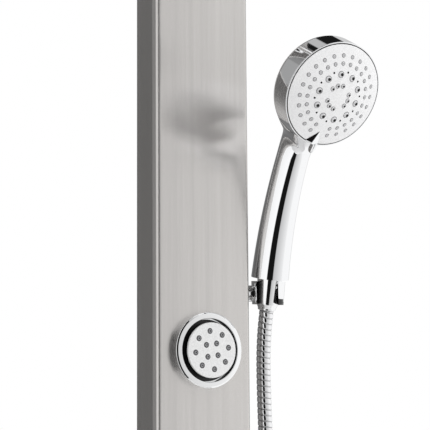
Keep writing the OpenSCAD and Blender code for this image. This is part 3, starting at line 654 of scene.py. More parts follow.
# %% Hose tree
def make_wound_hose():
    tree, start, end = new_tree("wound_hose", {
        "Radius": ("Float", HOSE_D / 2), "Pitch": ("Float", HOSE_PITCH),
        "Groove Depth": ("Float", 0.0006), "Groove Share": ("Float", 0.24),
        "Step": ("Float", 0.0008), "Sides": ("Int", 24),
        "Material": ("Material", None)})
    line = node(tree, "GeometryNodeMeshToCurve")
    even = node(tree, "GeometryNodeResampleCurve", {"mode": "LENGTH"})
    tree.links.new(start.outputs["Geometry"], line.inputs["Mesh"])
    tree.links.new(line.outputs["Curve"], even.inputs["Curve"])
    tree.links.new(start.outputs["Step"], even.inputs["Length"])

    along = node(tree, "GeometryNodeSplineParameter")
    keep_along = node(tree, "GeometryNodeCaptureAttribute")
    keep_along.capture_items.new("FLOAT", "Along")
    keep_along.capture_items.new("VECTOR", "Middle")
    middle = node(tree, "GeometryNodeInputPosition")
    tree.links.new(even.outputs["Curve"], keep_along.inputs["Geometry"])
    tree.links.new(along.outputs["Length"], keep_along.inputs["Along"])
    tree.links.new(middle.outputs["Position"], keep_along.inputs["Middle"])

    ring = node(tree, "GeometryNodeCurvePrimitiveCircle")
    tree.links.new(start.outputs["Sides"], ring.inputs["Resolution"])
    tree.links.new(start.outputs["Radius"], ring.inputs["Radius"])
    around = node(tree, "GeometryNodeSplineParameter")
    keep_around = node(tree, "GeometryNodeCaptureAttribute")
    keep_around.capture_items.new("FLOAT", "Around")
    tree.links.new(ring.outputs["Curve"], keep_around.inputs["Geometry"])
    tree.links.new(around.outputs["Factor"], keep_around.inputs["Around"])

    tube = node(tree, "GeometryNodeCurveToMesh", Fill_Caps=True)
    tree.links.new(keep_along.outputs["Geometry"], tube.inputs["Curve"])
    tree.links.new(keep_around.outputs["Geometry"], tube.inputs["Profile Curve"])

    turns = math_node(tree, "DIVIDE", keep_along.outputs["Along"], start.outputs["Pitch"])
    phase = math_node(tree, "FRACT", math_node(tree, "ADD", turns, keep_around.outputs["Around"]))
    from_seam = math_node(tree, "ABSOLUTE", math_node(tree, "SUBTRACT", phase, 0.5))
    half_groove = math_node(tree, "MULTIPLY", start.outputs["Groove Share"], 0.5)
    groove = node(tree, "ShaderNodeMapRange", {"interpolation_type": "SMOOTHSTEP"},
                  To_Min=1.0, To_Max=0.0)
    tree.links.new(from_seam, groove.inputs["Value"])
    tree.links.new(math_node(tree, "MULTIPLY", half_groove, 0.45), groove.inputs["From Min"])
    tree.links.new(half_groove, groove.inputs["From Max"])
    crown = math_node(tree, "MULTIPLY", math_node(tree, "POWER", math_node(
        tree, "MULTIPLY", math_node(tree, "SUBTRACT", 0.5, from_seam), 2.0), 2.0), 0.22)
    pressed = math_node(tree, "MULTIPLY", start.outputs["Groove Depth"],
                        math_node(tree, "ADD", groove.outputs["Result"], crown))

    outward = node(tree, "ShaderNodeVectorMath", {"operation": "SUBTRACT"})
    where = node(tree, "GeometryNodeInputPosition")
    tree.links.new(where.outputs["Position"], outward.inputs[0])
    tree.links.new(keep_along.outputs["Middle"], outward.inputs[1])
    unit = node(tree, "ShaderNodeVectorMath", {"operation": "NORMALIZE"})
    tree.links.new(outward.outputs["Vector"], unit.inputs[0])
    inward = node(tree, "ShaderNodeVectorMath", {"operation": "SCALE"})
    tree.links.new(unit.outputs["Vector"], inward.inputs[0])
    tree.links.new(math_node(tree, "MULTIPLY", pressed, -1.0), inward.inputs["Scale"])
    press = node(tree, "GeometryNodeSetPosition")
    tree.links.new(tube.outputs["Mesh"], press.inputs["Geometry"])
    tree.links.new(inward.outputs["Vector"], press.inputs["Offset"])

    store = node(tree, "GeometryNodeStoreNamedAttribute", {"data_type": "FLOAT", "domain": "POINT"},
                 Name="groove")
    tree.links.new(press.outputs["Geometry"], store.inputs["Geometry"])
    tree.links.new(groove.outputs["Result"], store.inputs["Value"])
    finish_tree(tree, start, end, store.outputs["Geometry"])
    return tree


def make_hose():
    count = len(hose_line)
    hose = new_piece("hand_shower_hose", hose_line, [], [(i, i + 1) for i in range(count - 1)])
    run_tree(hose, make_wound_hose(), Radius=HOSE_D / 2, Material=hose_finish)
    shade(hose, 60)
    fit(hose, hose_finish, None, "hose_steel", "hose")
    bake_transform(hose)


make_hose()
print("hose ribs:", round(hose_run / HOSE_PITCH))

# %% [markdown]
# ## Light and floor
# Chrome shows nothing but its room, so the room is designed first. The world is a soft white
# studio whose brightness changes with direction: a dark gap between the two big white sheets
# where the viewer stands, and a dim side behind the column on the left, which draw the dark
# bands that make metal read as metal. Four flags, round cards darker than the room, hang high
# up where the curved chrome looks for them. The floor is a plain, pale, round sheet, well
# below the hose's loop.

# %% World
ROOM_TONES = [                              # degrees clockwise from the viewer, brightness
    (-180, 0.26), (-150, 0.16), (-117, 0.12), (-110, 0.26), (-92, 0.32), (-84, 0.95), (-23, 1.05),
    (-21, 0.008), (14, 0.008), (16, 0.55), (45, 0.72), (72, 0.88), (80, 1.0), (145, 1.0),
    (170, 0.6), (180, 0.5)]
FLAGS = [                                   # towards, half width in degrees, brightness
    ((0.41, 0.51, 0.76), 11.0, 0.01), ((-0.56, 0.66, 0.49), 13.0, 0.36),
    ((-0.01, 0.435, 0.90), 4.5, 0.01), ((0.12, 0.437, 0.89), 5.0, 0.5)]


def make_world():
    world = bpy.data.worlds.new("studio")
    scene.world = world
    world.use_nodes = True
    tree = world.node_tree
    tree.nodes.clear()
    ways = tree.nodes.new("ShaderNodeTexCoord")
    turned = node(tree, "ShaderNodeVectorRotate", {"rotation_type": "Z_AXIS"}, Angle=-CAMERA_TURN)
    tree.links.new(ways.outputs["Generated"], turned.inputs["Vector"])
    parts = node(tree, "ShaderNodeSeparateXYZ")
    tree.links.new(turned.outputs["Vector"], parts.inputs["Vector"])
    angle = math_node(tree, "ARCTAN2", parts.outputs["X"],
                      math_node(tree, "MULTIPLY", parts.outputs["Y"], -1.0))
    turn = math_node(tree, "ADD", math_node(tree, "DIVIDE", angle, 2 * math.pi), 0.5)
    tones = node(tree, "ShaderNodeValToRGB")
    tree.links.new(turn, tones.inputs["Fac"])
    stops = tones.color_ramp.elements
    while len(stops) < len(ROOM_TONES):
        stops.new(0.5)
    for stop, (degrees, tone) in zip(stops, ROOM_TONES):
        stop.position = degrees / 360 + 0.5
        stop.color = (tone, tone, tone, 1)

    light = tones.outputs["Color"]
    for way, half_width, tone in FLAGS:
        facing = node(tree, "ShaderNodeVectorMath", {"operation": "DOT_PRODUCT"})
        tree.links.new(ways.outputs["Generated"], facing.inputs[0])
        facing.inputs[1].default_value = Vector(way).normalized()
        shade_in = node(tree, "ShaderNodeMapRange", {"interpolation_type": "SMOOTHSTEP"},
                        From_Min=math.cos(math.radians(half_width + 2)),
                        From_Max=math.cos(math.radians(half_width)))
        tree.links.new(facing.outputs["Value"], shade_in.inputs["Value"])
        hung = node(tree, "ShaderNodeMix", {"data_type": "RGBA"})
        hung.inputs[7].default_value = (tone, tone, tone, 1)
        tree.links.new(shade_in.outputs["Result"], hung.inputs["Factor"])
        tree.links.new(light, hung.inputs[6])
        light = hung.outputs[2]

    room = node(tree, "ShaderNodeBackground", Strength=1.0)
    tree.links.new(light, room.inputs["Color"])
    backdrop = node(tree, "ShaderNodeBackground", Color=(1, 1, 1, 1), Strength=1.0)
    looked_at = tree.nodes.new("ShaderNodeLightPath")
    choose = tree.nodes.new("ShaderNodeMixShader")
    out = tree.nodes.new("ShaderNodeOutputWorld")
    tree.links.new(looked_at.outputs["Is Camera Ray"], choose.inputs["Fac"])
    tree.links.new(room.outputs["Background"], choose.inputs[1])
    tree.links.new(backdrop.outputs["Background"], choose.inputs[2])
    tree.links.new(choose.outputs["Shader"], out.inputs["Surface"])


make_world()
scene.view_settings.view_transform = "Standard"
print("room tones:", len(ROOM_TONES), "flags:", len(FLAGS))

# %% [markdown]
# Two lamps light what isn't metal: the plastic faces and the floor. They are kept out of the
# reflections, because a lamp seen in chrome is a hard spot that a real soft box doesn't make.

# %% Lights
def soft_light(name, at, towards, width, watts):
    """A round lamp that lights the pieces but isn't seen in their metal."""
    light = bpy.data.lights.new(name, "AREA")
    light.shape = "DISK"
    light.size = width
    light.energy = watts
    lamp = bpy.data.objects.new(name, light)
    scene.collection.objects.link(lamp)
    away = (Vector(at) - Vector(towards)).normalized()
    lamp.matrix_world = Matrix.Translation(at) @ away.to_track_quat("Z", "Y").to_matrix().to_4x4()
    lamp.visible_glossy = False
    return lamp


MIDDLE = (0, 0, 0.2)
LAMP_W = 1.2
soft_light("key_light", (0.4, -1.6, 2.2), MIDDLE, LAMP_W, 16)
soft_light("low_fill", (0.3, -1.8, -0.4), MIDDLE, LAMP_W, 12)

# %% Floor
FLOOR_Z = -1.1
FLOOR_R = 0.9


def make_floor():
    mesh = bmesh.new()
    bmesh.ops.create_circle(mesh, cap_ends=True, segments=160, radius=FLOOR_R,
                            matrix=Matrix.Translation((0, -0.1, FLOOR_Z)))
    floor = new_piece("floor", [], [])
    mesh.to_mesh(floor.data)
    mesh.free()
    floor.data.materials.append(finish("pale_floor", (0.86, 0.86, 0.86), 0.0, 0.6)[0])


make_floor()
print("floor at", FLOOR_Z)

# %% [markdown]
# ## The body jets
# Each jet is a chrome ring on the panel, a black gap, and a satin white face that swivels on
# a ball behind it. The ring's crown is a wide soft curve, which is why it shows one broad
# white band. The face is flat with an eased edge, and twelve rubber nozzles stand through it.

# %% Jet rings and faces
JETS = {"top": 0.150, "middle": -0.010, "bottom": -0.170}
JET_RING = [(27, 0), (35.3, 0), (35.3, 7.7, 0.7), (33.8, 8.8, 1.6), (29.4, 9.5, 0.9), (29.4, 1.5),
            (27, 1.5)]
JET_FACE = [(0, 8.5), (21, 8.5, 2), (25.7, 10.4, 0.6), (25.7, 13, 0.7), (0, 13)]

for place_name, z in JETS.items():
    ring = lathe("body_jet_ring_" + place_name, JET_RING, front(z), 160)
    fit(ring, chrome, "root", "chrome", "jet_ring_" + place_name)

# %% [markdown]
# ## Rubber nozzles
# One small nozzle is a spun outline of a few rings. A tree then stands a copy on every point
# it is given and leans each copy along the surface's own normal, which for a domed disc runs
# from the dome's centre, and for a flat plate is straight out. Positions follow a rule: rings
# of so many nozzles at equal angles.

# %% Nozzle shapes
def nozzle_shape(name, base, nub, top, mouth, tall, sides=20):
    """A soft nozzle standing on Z = 0: a flat ring, a raised nub, and a mouth in its top.

    The zone attribute says which of the three a point is on."""
    outline = [(0, tall - 0.6), (mouth * 0.75, tall - 0.6), (mouth, tall - 0.08),
               (mouth + 0.15, tall), (top - 0.1, tall), (top, tall - 0.12), (nub, 0.12),
               (nub + 0.06, 0.02), (nub + 0.25, 0.16), (base - 0.15, 0.14), (base, 0.0),
               (base, -0.4), (0, -0.4)]
    points, faces = spin([Vector(p) for p in outline], sides)
    made = outwards(new_piece(name, [p * MM for p in points], faces))
    zone = made.data.attributes.new("zone", "FLOAT", "POINT")
    zone.data.foreach_set("value", [
        1.0 if p.xy.length < mouth + 0.05 else 0.5 if p.xy.length < nub + 0.03 else 0.0
        for p in points])
    return shade(made, 50)


# %% Nozzle tree
def make_nozzle_stand():
    tree, start, end = new_tree("stand_nozzles", {
        "Nozzle": ("Object", None), "Centre": ("Vector", (0, 0, 0)),
        "Material": ("Material", None)})
    shape = node(tree, "GeometryNodeObjectInfo")
    tree.links.new(start.outputs["Nozzle"], shape.inputs["Object"])
    where = node(tree, "GeometryNodeInputPosition")
    lean = node(tree, "ShaderNodeVectorMath", {"operation": "SUBTRACT"})
    tree.links.new(where.outputs["Position"], lean.inputs[0])
    tree.links.new(start.outputs["Centre"], lean.inputs[1])
    turn = node(tree, "FunctionNodeAlignRotationToVector", {"axis": "Z"})
    tree.links.new(lean.outputs["Vector"], turn.inputs["Vector"])
    stand = node(tree, "GeometryNodeInstanceOnPoints")
    tree.links.new(start.outputs["Geometry"], stand.inputs["Points"])
    tree.links.new(shape.outputs["Geometry"], stand.inputs["Instance"])
    tree.links.new(turn.outputs["Rotation"], stand.inputs["Rotation"])
    finish_tree(tree, start, end, stand.outputs["Instances"])
    return tree


nozzle_stand = make_nozzle_stand()
print("nozzle tree:", len(nozzle_stand.nodes), "nodes")


def on_ring(radius, count, start):
    """Places on a ring, clockwise from the top, in millimetres."""
    turns = [math.radians(start + 360 * k / count) for k in range(count)]
    return [Vector((radius * math.sin(turn), radius * math.cos(turn))) for turn in turns]


def stand_nozzles(name, shape, places, centre, material):
    """Stands a nozzle on every place, leaning away from the centre."""
    made = new_piece(name, places, [])
    return run_tree(made, nozzle_stand, Nozzle=shape, Centre=centre, Material=material)


def join(name, first, *others):
    """Joins meshes that are already at the origin into the first one."""
    mesh = bmesh.new()
    for obj in (first, *others):
        mesh.from_mesh(obj.data)
    mesh.to_mesh(first.data)
    mesh.free()
    for obj in others:
        bpy.data.objects.remove(obj)
    first.name = name
    return first


# %% Body jet nozzles
body_nozzle = nozzle_shape("body_nozzle", 2.75, 1.7, 1.45, 0.7, 0.9)
BODY_NOZZLES = on_ring(17.8, 8, -7.5) + on_ring(7.8, 4, 37.5)
JET_FACE_Z = 13.0
FAR_BEHIND = 1e5                            # so far that every nozzle leans straight out

for place_name, z in JETS.items():
    face = lathe("body_jet_face_" + place_name, JET_FACE, front(z), 128)
    fit(face, white_plastic, "jet_" + place_name, "white_plastic", "jet_face_" + place_name)
    places = [front(z) @ Vector((p.x, p.y, JET_FACE_Z)) for p in BODY_NOZZLES]
    nozzles = stand_nozzles("body_jet_nozzles_" + place_name, body_nozzle, places,
                            front(z) @ Vector((0, 0, -FAR_BEHIND)), body_jet_rubber)
    fit(nozzles, body_jet_rubber, "jet_" + place_name, "grey_silicone", "jet_nozzles_" + place_name)
bpy.data.objects.remove(body_nozzle)

# %% [markdown]
# ## The rain head
# The cover is a thin spun dish, and the plate under it is flat steel with 91 rubber nozzles
# in rings of six, twelve, eighteen and so on, which keeps the gaps equal. Both are turned
# about the ball that the head hangs from.

# %% Rain head
BALL_AT = (0, -0.355, 0.525)
RAIN_R = 100.0
RAIN_PLATE_Z = -29.0
RAIN_SPACING = 18.0
RAIN_RINGS = 5
RAIN_COVER = [(5, -12.5), (17, -12.5, 3), (22, -14.5, 4), (45, -16.6, 30), (75, -18.4, 30),
              (95, -20, 8), (RAIN_R, -22.6, 3), (RAIN_R, RAIN_PLATE_Z, 0.5),
              (RAIN_R - 1.4, RAIN_PLATE_Z), (RAIN_R - 1.4, -23, 1), (94, -22.2), (75, -20.6),
              (45, -18.8), (22, -16.8), (5, -16.8)]
RAIN_PLATE = [(0, -27.5), (RAIN_R - 1.5, -27.5), (RAIN_R - 1.5, RAIN_PLATE_Z, 0.4),
              (0, RAIN_PLATE_Z)]

at_ball = Matrix.Translation(BALL_AT) @ Matrix.Scale(MM, 4)
cover = lathe("rain_head_cover", RAIN_COVER, at_ball, 180, 8)
fit(cover, chrome, "rain_head", "chrome", "rain_cover")
plate = lathe("rain_head_plate", RAIN_PLATE, at_ball, 128)
fit(plate, plain_steel, "rain_head", "steel", "rain_plate")

rain_nozzle = nozzle_shape("rain_nozzle", 2.9, 1.9, 1.5, 0.7, 2.5, 16)
rain_places = [Vector((0, 0))]
for k in range(1, RAIN_RINGS + 1):
    rain_places += on_ring(k * RAIN_SPACING, 6 * k, 0)
rain_nozzles = stand_nozzles(
    "rain_head_nozzles", rain_nozzle,
    [at_ball @ Vector((p.x, p.y, RAIN_PLATE_Z)) for p in rain_places],
    at_ball @ Vector((0, 0, FAR_BEHIND)), body_jet_rubber)
fit(rain_nozzles, body_jet_rubber, "rain_head", "grey_silicone", "rain_nozzles")
bpy.data.objects.remove(rain_nozzle)

# %% [markdown]
# ## The rim and the gap round the spray disc
# The rim is a chrome-plated drum with an eased front lip. The disc stands a little proud of
# it, so that it can turn, and a black ring in the bottom of the fine gap between them is
# painted shade that keeps the gap dark.

# %% Rim
LIP_R = HEAD_R - 1.1
RIM = [(46, -RIM_DEPTH), (HEAD_R, -RIM_DEPTH, 0.5), (HEAD_R, -0.5, 1.0), (LIP_R, -0.5, 0.2),
       (LIP_R, -4.6), (46, -4.6)]
# Painted shade: a black ring in the bottom of the gap keeps the gap dark.
GAP_SHADE_RING = [(FACE_R + 0.2, -3.6), (LIP_R - 0.05, -3.6), (LIP_R - 0.05, -2.6),
            (FACE_R + 0.2, -2.6)]
rim = lathe("handset_rim_drum", RIM, head, 200)
fit(rim, shell_chrome, "handset", "chrome_shell", "handset_rim")
fit(lathe("handset_gap_ring", GAP_SHADE_RING, head, 160), black_plastic, "handset", "black_plastic")

# %% [markdown]
# ## The spray disc
# The disc is slightly domed, so the jets spread. A thin black band round its edge is painted
# shade for its side wall in the gap, and ten deep holes between the jets let in air. The holes are
# cut with a boolean that carries the cutter's black material on to the walls it leaves, as painted
# shade, because a real hole this deep is dark with shade.

# %% Spray disc
AIR_R = 24.3                                # ring of the air holes
AIR_HOLE_R = 0.95


def make_disc():
    dome = [(r, dome_at(r)) for r in range(0, 47, 2)]
    disc = lathe("spray_disc", dome + [(FACE_R, 0, 0.5), (FACE_R, -3.8), (0, -3.8)], spray, 160)
    mesh = bmesh.new()
    for place in on_ring(AIR_R, 10, 0):
        at = spray @ Matrix.Translation((place.x, place.y, dome_at(AIR_R)))
        bmesh.ops.create_cone(mesh, cap_ends=True, segments=20, radius1=AIR_HOLE_R,
                              radius2=AIR_HOLE_R, depth=9, matrix=at)
    drill = new_piece("air_drill", [], [])
    mesh.to_mesh(drill.data)
    mesh.free()
    # Painted shade: the walls of the air holes take this black material.
    drill.data.materials.append(black_plastic)
    disc.data.materials.append(pearl_plastic)
    cut = disc.modifiers.new("air_holes", "BOOLEAN")
    cut.object = drill
    cut.solver = "EXACT"
    cut.material_mode = "TRANSFER"
    settle(disc)
    bpy.data.objects.remove(drill)
    return shade(disc)


# Painted shade: a black band on the disc's edge stands for its shaded side wall.
DISC_EDGE_SHADE = [(FACE_R, -3.8), (FACE_R + 0.12, -3.8), (FACE_R + 0.12, -0.3), (FACE_R, -0.3)]
disc = make_disc()
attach(disc, "spray_selector")
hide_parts("spray_face")
fit(lathe("disc_seal", DISC_EDGE_SHADE, spray, 160), black_plastic, "spray_selector", "black_plastic")
print("disc materials:", [slot.name for slot in disc.data.materials])

# %% [markdown]
# ## Nozzles of the spray disc
# Two outer rings of small nozzles skip the place where the selector's tab lies. Ten large
# jets stand further in with an air hole between each pair, and nine middle jets stand in
# three groups round the centre.

# %% Spray nozzles
def ring_with_gap(radius, count):
    """Places on a ring without the one under the selector."""
    return [p for p in on_ring(radius, count, 0) if p.y > 1 - radius]


def on_dome(places):
    return [spray @ Vector((p.x, p.y, dome_at(p.length))) for p in places]


dome_centre = spray @ Vector((0, 0, -DOME_DROP))
small_places = ring_with_gap(38.5, 24) + ring_with_gap(31.4, 24)
big_places = on_ring(21.7, 10, 18)
mid_places = []
for start in (61, 90, 119):
    mid_places += on_ring(11.3, 3, start)

small_nozzle = nozzle_shape("small_nozzle", 2.0, 1.4, 1.1, 0.35, 0.7, 18)
big_nozzle = nozzle_shape("big_nozzle", 3.2, 2.6, 1.8, 1.5, 1.7, 24)
mid_nozzle = nozzle_shape("mid_nozzle", 2.35, 1.85, 1.25, 1.0, 1.3, 20)

small = stand_nozzles("spray_small_nozzles", small_nozzle, on_dome(small_places), dome_centre,
                      small_rubber)
fit(small, small_rubber, "spray_selector", "grey_silicone", "spray_nozzles")
big = stand_nozzles("big_jets", big_nozzle, on_dome(big_places), dome_centre, jet_rubber)
mid = stand_nozzles("mid_jets", mid_nozzle, on_dome(mid_places), dome_centre, jet_rubber)
jets = join("spray_jet_nozzles", big, mid)
fit(jets, jet_rubber, "spray_selector", "grey_silicone", "spray_jets")
for shape in (small_nozzle, big_nozzle, mid_nozzle):
    bpy.data.objects.remove(shape)
print("nozzles:", len(small_places), "small,", len(big_places), "large,", len(mid_places), "middle")

# %% [markdown]
# ## The shell of the hand shower
# The handle, the neck and the back of the head are one moulding, plated with chrome, and
# chrome shows the slightest dent. So the shape is given by a formula and not by hand. One
# function says how far a point is from a bent, tapering handle, another how far it is from
# the domed back, and a smooth minimum melts the two together with a soft fillet. We remesh a
# rough union of the two, and then slide every point onto the exact surface. The surface's
# own slope becomes the shading normal, which is what makes the reflections run clean.

# %% Handset formula
GRIP_BEND, NECK_BEND = 415.0, 60.0
TOP_LEAN, NECK_LEAN = math.radians(29), math.radians(74)
GRIP_R = 15.5
BACK_R, BACK_H = 49.6, 17.0
FILLET = 16.0


def lean_way(lean):
    """From a bend's centre to its line, in Y and Z."""
    return np.array([math.cos(lean), math.sin(lean)])


grip_centre = np.array(GRIP_FOOT) - GRIP_BEND * lean_way(FOOT_LEAN)
grip_top = grip_centre + GRIP_BEND * lean_way(TOP_LEAN)
neck_centre = grip_top - NECK_BEND * lean_way(TOP_LEAN)
head_np = np.array(head.to_3x3().normalized())
edge_np = np.array(EDGE_AT) / MM


def from_handle(points):
    """Rough distance to the bent, tapering handle, in millimetres."""
    flat = points[:, 1:]
    to_neck = flat - neck_centre
    lean = np.arctan2(to_neck[:, 1], to_neck[:, 0])
    on_neck = lean > TOP_LEAN
    to_grip = flat - grip_centre
    low_lean = np.arctan2(to_grip[:, 1], to_grip[:, 0])
    depth = np.where(on_neck, np.linalg.norm(to_neck, axis=1) - NECK_BEND,
                     np.linalg.norm(to_grip, axis=1) - GRIP_BEND)
    t = (low_lean - FOOT_LEAN) / (TOP_LEAN - FOOT_LEAN)
    n = np.clip((lean - TOP_LEAN) / (NECK_LEAN - TOP_LEAN), 0, 1)
    grip_r = GRIP_R + 2.8 * np.clip(1 - t, 0, 2) ** 1.3
    half_w = np.where(on_neck, GRIP_R + 12 * n ** 1.8, grip_r)
    half_d = np.where(on_neck, GRIP_R - 2 * n ** 2, grip_r)
    across = (points[:, 0] - HANDSET_X / MM)
    k0 = np.sqrt((across / half_w) ** 2 + (depth / half_d) ** 2)
    k1 = np.sqrt((across / half_w ** 2) ** 2 + (depth / half_d ** 2) ** 2) + 1e-9
    past = np.clip(lean - NECK_LEAN, 0, 2) * NECK_BEND
    return k0 * (k0 - 1) / k1 + np.where(on_neck, past, 0)


def from_back(points):
    """Rough distance to the domed back of the head, in millimetres."""
    local = (points - edge_np) @ head_np
    local[:, 2] += RIM_DEPTH
    size = np.array([BACK_R, BACK_R, BACK_H])
    k0 = np.linalg.norm(local / size, axis=1)
    k1 = np.linalg.norm(local / size ** 2, axis=1) + 1e-9
    return k0 * (k0 - 1) / k1


def from_shell(points):
    """The two melted together by a smooth minimum."""
    a, b = from_handle(points), from_back(points)
    h = np.clip(0.5 + 0.5 * (b - a) / FILLET, 0, 1)
    return b * (1 - h) + a * h - FILLET * h * (1 - h)


def slope(points, step=0.02):
    """The way the distance grows, by central differences."""
    way = np.zeros_like(points)
    for axis in range(3):
        shift = np.zeros(3)
        shift[axis] = step
        way[:, axis] = (from_shell(points + shift) - from_shell(points - shift)) / (2 * step)
    return way


print("handle ends at", grip_top.round(1), "and the neck turns about", neck_centre.round(1))

# %% [markdown]
# The formula says where the surface is, but not which faces it has. A rough lump of spheres,
# remeshed at 1.3 mm, gives an even net of faces that is close enough to slide into place.

# %% Rough handset
def rough_handset():
    """Spheres strung along the handle and a flattened one for the head, all overlapping."""
    mesh = bmesh.new()
    bends = [(grip_centre, GRIP_BEND, FOOT_LEAN - 0.06, TOP_LEAN, 60, 0.0165),
             (neck_centre, NECK_BEND, TOP_LEAN, NECK_LEAN, 16, 0.017)]
    for centre, bend, first, last, count, radius in bends:
        for lean in np.linspace(first, last, count):
            y, z = centre + bend * lean_way(lean)
            place = Matrix.Translation((HANDSET_X, y * MM, z * MM))
            bmesh.ops.create_icosphere(mesh, subdivisions=3, radius=radius, matrix=place)
    back = Matrix.Translation((0, 0, -RIM_DEPTH)) @ Matrix.Diagonal((BACK_R, BACK_R, BACK_H, 1))
    bmesh.ops.create_icosphere(mesh, subdivisions=5, radius=1, matrix=head @ back)
    rough = new_piece("handset_shell", [], [])
    mesh.to_mesh(rough.data)
    mesh.free()
    remesh = rough.modifiers.new("remesh", "REMESH")
    remesh.mode = "VOXEL"
    remesh.voxel_size = 0.0013
    return settle(rough)


# %% [markdown]
# Each point then moves along the slope by its own distance, a few times over, and stops on
# the surface. The foot is sawn off square, and the rim's drum is taken out of the head.

# %% Slide and cut
def onto_surface(points, rounds=14):
    """Slides points along the slope until they lie on the exact surface."""
    for _ in range(rounds):
        way = slope(points)
        steep = np.sum(way ** 2, axis=1) + 1e-6
        move = -(from_shell(points) / steep)[:, None] * way
        reach = np.linalg.norm(move, axis=1, keepdims=True)
        points = points + move * np.minimum(1, 2.0 / (reach + 1e-9))
    return points


def cut_shell(shell):
    """Cuts the foot off square and takes the rim's drum out of the head."""
    mesh = bmesh.new()
    mesh.from_mesh(shell.data)
    up_handle = Vector((0, -math.sin(FOOT_LEAN), math.cos(FOOT_LEAN)))
    foot = Vector((HANDSET_X, GRIP_FOOT.x * MM, GRIP_FOOT.y * MM))
    whole = mesh.verts[:] + mesh.edges[:] + mesh.faces[:]
    cut = bmesh.ops.bisect_plane(mesh, geom=whole, dist=1e-6, plane_co=foot, plane_no=up_handle,
                                 clear_inner=True)
    rim_edges = [e for e in cut["geom_cut"] if isinstance(e, bmesh.types.BMEdge)]
    bmesh.ops.contextual_create(mesh, geom=rim_edges)
    mesh.to_mesh(shell.data)
    mesh.free()
    drum_r = HEAD_R + 0.15
    drum = lathe("drum_cutter", [(0, -RIM_DEPTH), (drum_r, -RIM_DEPTH), (drum_r, 60), (0, 60)],
                 head, 200)
    carve = shell.modifiers.new("carve", "BOOLEAN")
    carve.operation = "DIFFERENCE"
    carve.solver = "EXACT"
    carve.object = drum
    settle(shell)
    bpy.data.objects.remove(drum)
    return shell


# %% [markdown]
# Last come the shading normals. A corner takes the formula's slope where the face agrees
# with it, and the face's own direction where a cut left a flat.

# %% Handset shell
def shade_by_slope(shell):
    """Shading normals from the formula, and flat ones on the faces that were cut."""
    data = shell.data
    data.polygons.foreach_set("use_smooth", [True] * len(data.polygons))
    points = np.zeros(len(data.vertices) * 3)
    data.vertices.foreach_get("co", points)
    way = slope(points.reshape(-1, 3) / MM)
    way /= np.linalg.norm(way, axis=1, keepdims=True) + 1e-9
    normals = []
    for face in data.polygons:
        flat = np.array(face.normal)
        for corner in face.vertices:
            normals.append(way[corner] if way[corner] @ flat > 0.9 else flat)
    data.normals_split_custom_set([tuple(n) for n in normals])
    return shell


shell = rough_handset()
spots = np.zeros(len(shell.data.vertices) * 3)
shell.data.vertices.foreach_get("co", spots)
spots = onto_surface(spots.reshape(-1, 3) / MM)
off = np.abs(from_shell(spots)).max()
shell.data.vertices.foreach_set("co", (spots * MM).ravel())
shell.data.update()
shade_by_slope(cut_shell(shell))
fit(shell, shell_chrome, "handset", "chrome_shell", "handset_body")
print(f"shell points lie within {off:.4f} mm of the formula")

# %% [markdown]
# ## The selector lever
# A pointed tab on the face turns the disc, and a thumb pad hangs off the rim below it. The
# tab is a small roof with a ridge, so it catches light on one side only. The pad is a thin
# blade, swept down from the rim and rounded at its end, that a thumb pushes sideways.

# %% Selector lever
def roof_tab():
    """The pointed part on the face: two slopes that meet in a ridge, and a front end."""
    tip, edge = dome_at(34.3), dome_at(47.6)
    points = [(0.3, -34.3, tip + 0.1), (-8.6, -47.4, edge + 0.1), (6.4, -47.8, edge + 0.1),
              (-2.5, -47.8, 3.7), (-7.6, -49.6, 0.4), (5.6, -49.8, 0.4), (-2.3, -49.6, 2.4),
              (0.2, -35.4, tip - 0.4), (-7.6, -47.4, 0.1), (5.6, -47.8, 0.1)]
    faces = [(0, 1, 3), (0, 3, 2), (1, 4, 6, 3), (3, 6, 5, 2), (4, 5, 6), (0, 7, 8, 1),
             (0, 2, 9, 7), (1, 8, 4), (2, 5, 9), (7, 9, 8), (8, 9, 5, 4)]
    tab = outwards(new_piece("selector_lever_tab", [spray @ Vector(p) for p in points], faces))
    ease = tab.modifiers.new("ease", "BEVEL")
    ease.width = 0.0004
    ease.segments = 3
    ease.limit_method = "ANGLE"
    ease.angle_limit = math.radians(20)
    return settle(tab)


PAD_X = 3.8
PAD_LINE = [                                # down the disc, out of it, half width, half thickness
    (-46.8, -1.0, 2.0, 2.4), (-49.0, -1.2, 2.1, 3.4), (-52.0, -1.6, 2.0, 3.7),
    (-54.5, -2.1, 1.8, 3.6), (-56.6, -2.5, 1.5, 3.0), (-57.7, -2.7, 1.1, 2.2),
    (-58.3, -2.8, 0.5, 1.1)]
PAD_SIDES = 28


def flat_round(value):
    """Flattens a sine, so the blade's sides are flat and only its corners are round."""
    return math.copysign(abs(value) ** 0.55, value)


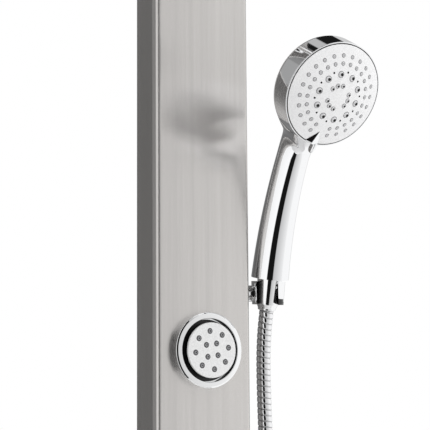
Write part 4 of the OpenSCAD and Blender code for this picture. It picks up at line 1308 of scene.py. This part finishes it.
def thumb_pad():
    """A thin blade that hangs off the rim, swept ring by ring and rounded at its end."""
    rings, quads = [], []
    for i, (y, z, wide, thick) in enumerate(PAD_LINE):
        before, after = PAD_LINE[max(i - 1, 0)], PAD_LINE[min(i + 1, len(PAD_LINE) - 1)]
        way = Vector((after[0] - before[0], after[1] - before[1])).normalized()
        for k in range(PAD_SIDES):
            turn = 2 * math.pi * k / PAD_SIDES
            out = thick * flat_round(math.sin(turn))
            rings.append(spray @ Vector((wide * flat_round(math.cos(turn)) + PAD_X,
                                         y + out * way.y, z - out * way.x)))
    for i in range(len(PAD_LINE) - 1):
        here, on = i * PAD_SIDES, (i + 1) * PAD_SIDES
        for k in range(PAD_SIDES):
            last = (k + 1) % PAD_SIDES
            quads.append((here + k, here + last, on + last, on + k))
    quads.append(tuple(range(PAD_SIDES)))
    quads.append(tuple((len(PAD_LINE) - 1) * PAD_SIDES + k for k in range(PAD_SIDES)))
    return outwards(new_piece("pad", rings, quads))


selector = shade(join("selector_lever_tab", roof_tab(), thumb_pad()), 40)
fit(selector, shell_chrome, "spray_selector", "chrome_shell", "selector_lever")

# %% [markdown]
# ## The holder
# The holder's cup is chrome outside, and inside it is drawn black as painted shade. Its
# shape is right as the CAD has it, so the piece is a copy of that mesh with its loose
# triangles merged, and the faces that look into the cup take the black material as painted shade.

# %% Holder
CUP_AXIS = Vector((HANDSET_X, -0.0327))
CUP_SHADE_R = 14.7 * MM
STEM_END_X = 60.5 * MM                      # faces nearer the panel belong to the stem


def merged_copy(name, node_name):
    """A copy of a CAD node whose loose triangles are merged."""
    mesh = bmesh.new()
    mesh.from_mesh(frame["nodes"][node_name].data)
    bmesh.ops.remove_doubles(mesh, verts=mesh.verts, dist=1e-6)
    made = new_piece(name, [], [])
    mesh.to_mesh(made.data)
    mesh.free()
    return shade(made, 30)


holder = merged_copy("holder_cup", "handset_holder")
fit(holder, chrome, "root", "chrome", "handset_holder")
# Painted shade: the faces that look into the cup take the black material.
holder.data.materials.append(black_plastic)
for face in holder.data.polygons:
    away = Vector(face.center[:2]) - CUP_AXIS
    if away.length < CUP_SHADE_R and face.center.x > STEM_END_X:
        face.material_index = 1
print("cup_shade faces:", sum(f.material_index for f in holder.data.polygons))

# %% [markdown]
# ## Finishes for the CAD pieces that stay
# A CAD piece whose shape is right keeps its mesh and only gets its finish. The record names
# a material slot for every node, so a table from slot to finish covers them all at once.

# %% CAD finishes
SLOT_FINISH = {
    "brushed_panel": panel_steel, "steel": plain_steel, "chrome": chrome,
    "chrome_shell": shell_chrome, "brass": brass, "white_plastic": white_plastic,
    "pearl_plastic": pearl_plastic, "black_plastic": black_plastic,
    "grey_silicone": body_jet_rubber, "seal": seal_rubber, "hose_steel": hose_finish}

for part in frame["record"]["subparts"]:
    obj = frame["nodes"][part["node"]]
    for slot in obj.material_slots:
        slot.material = SLOT_FINISH[part["material_slot"]]
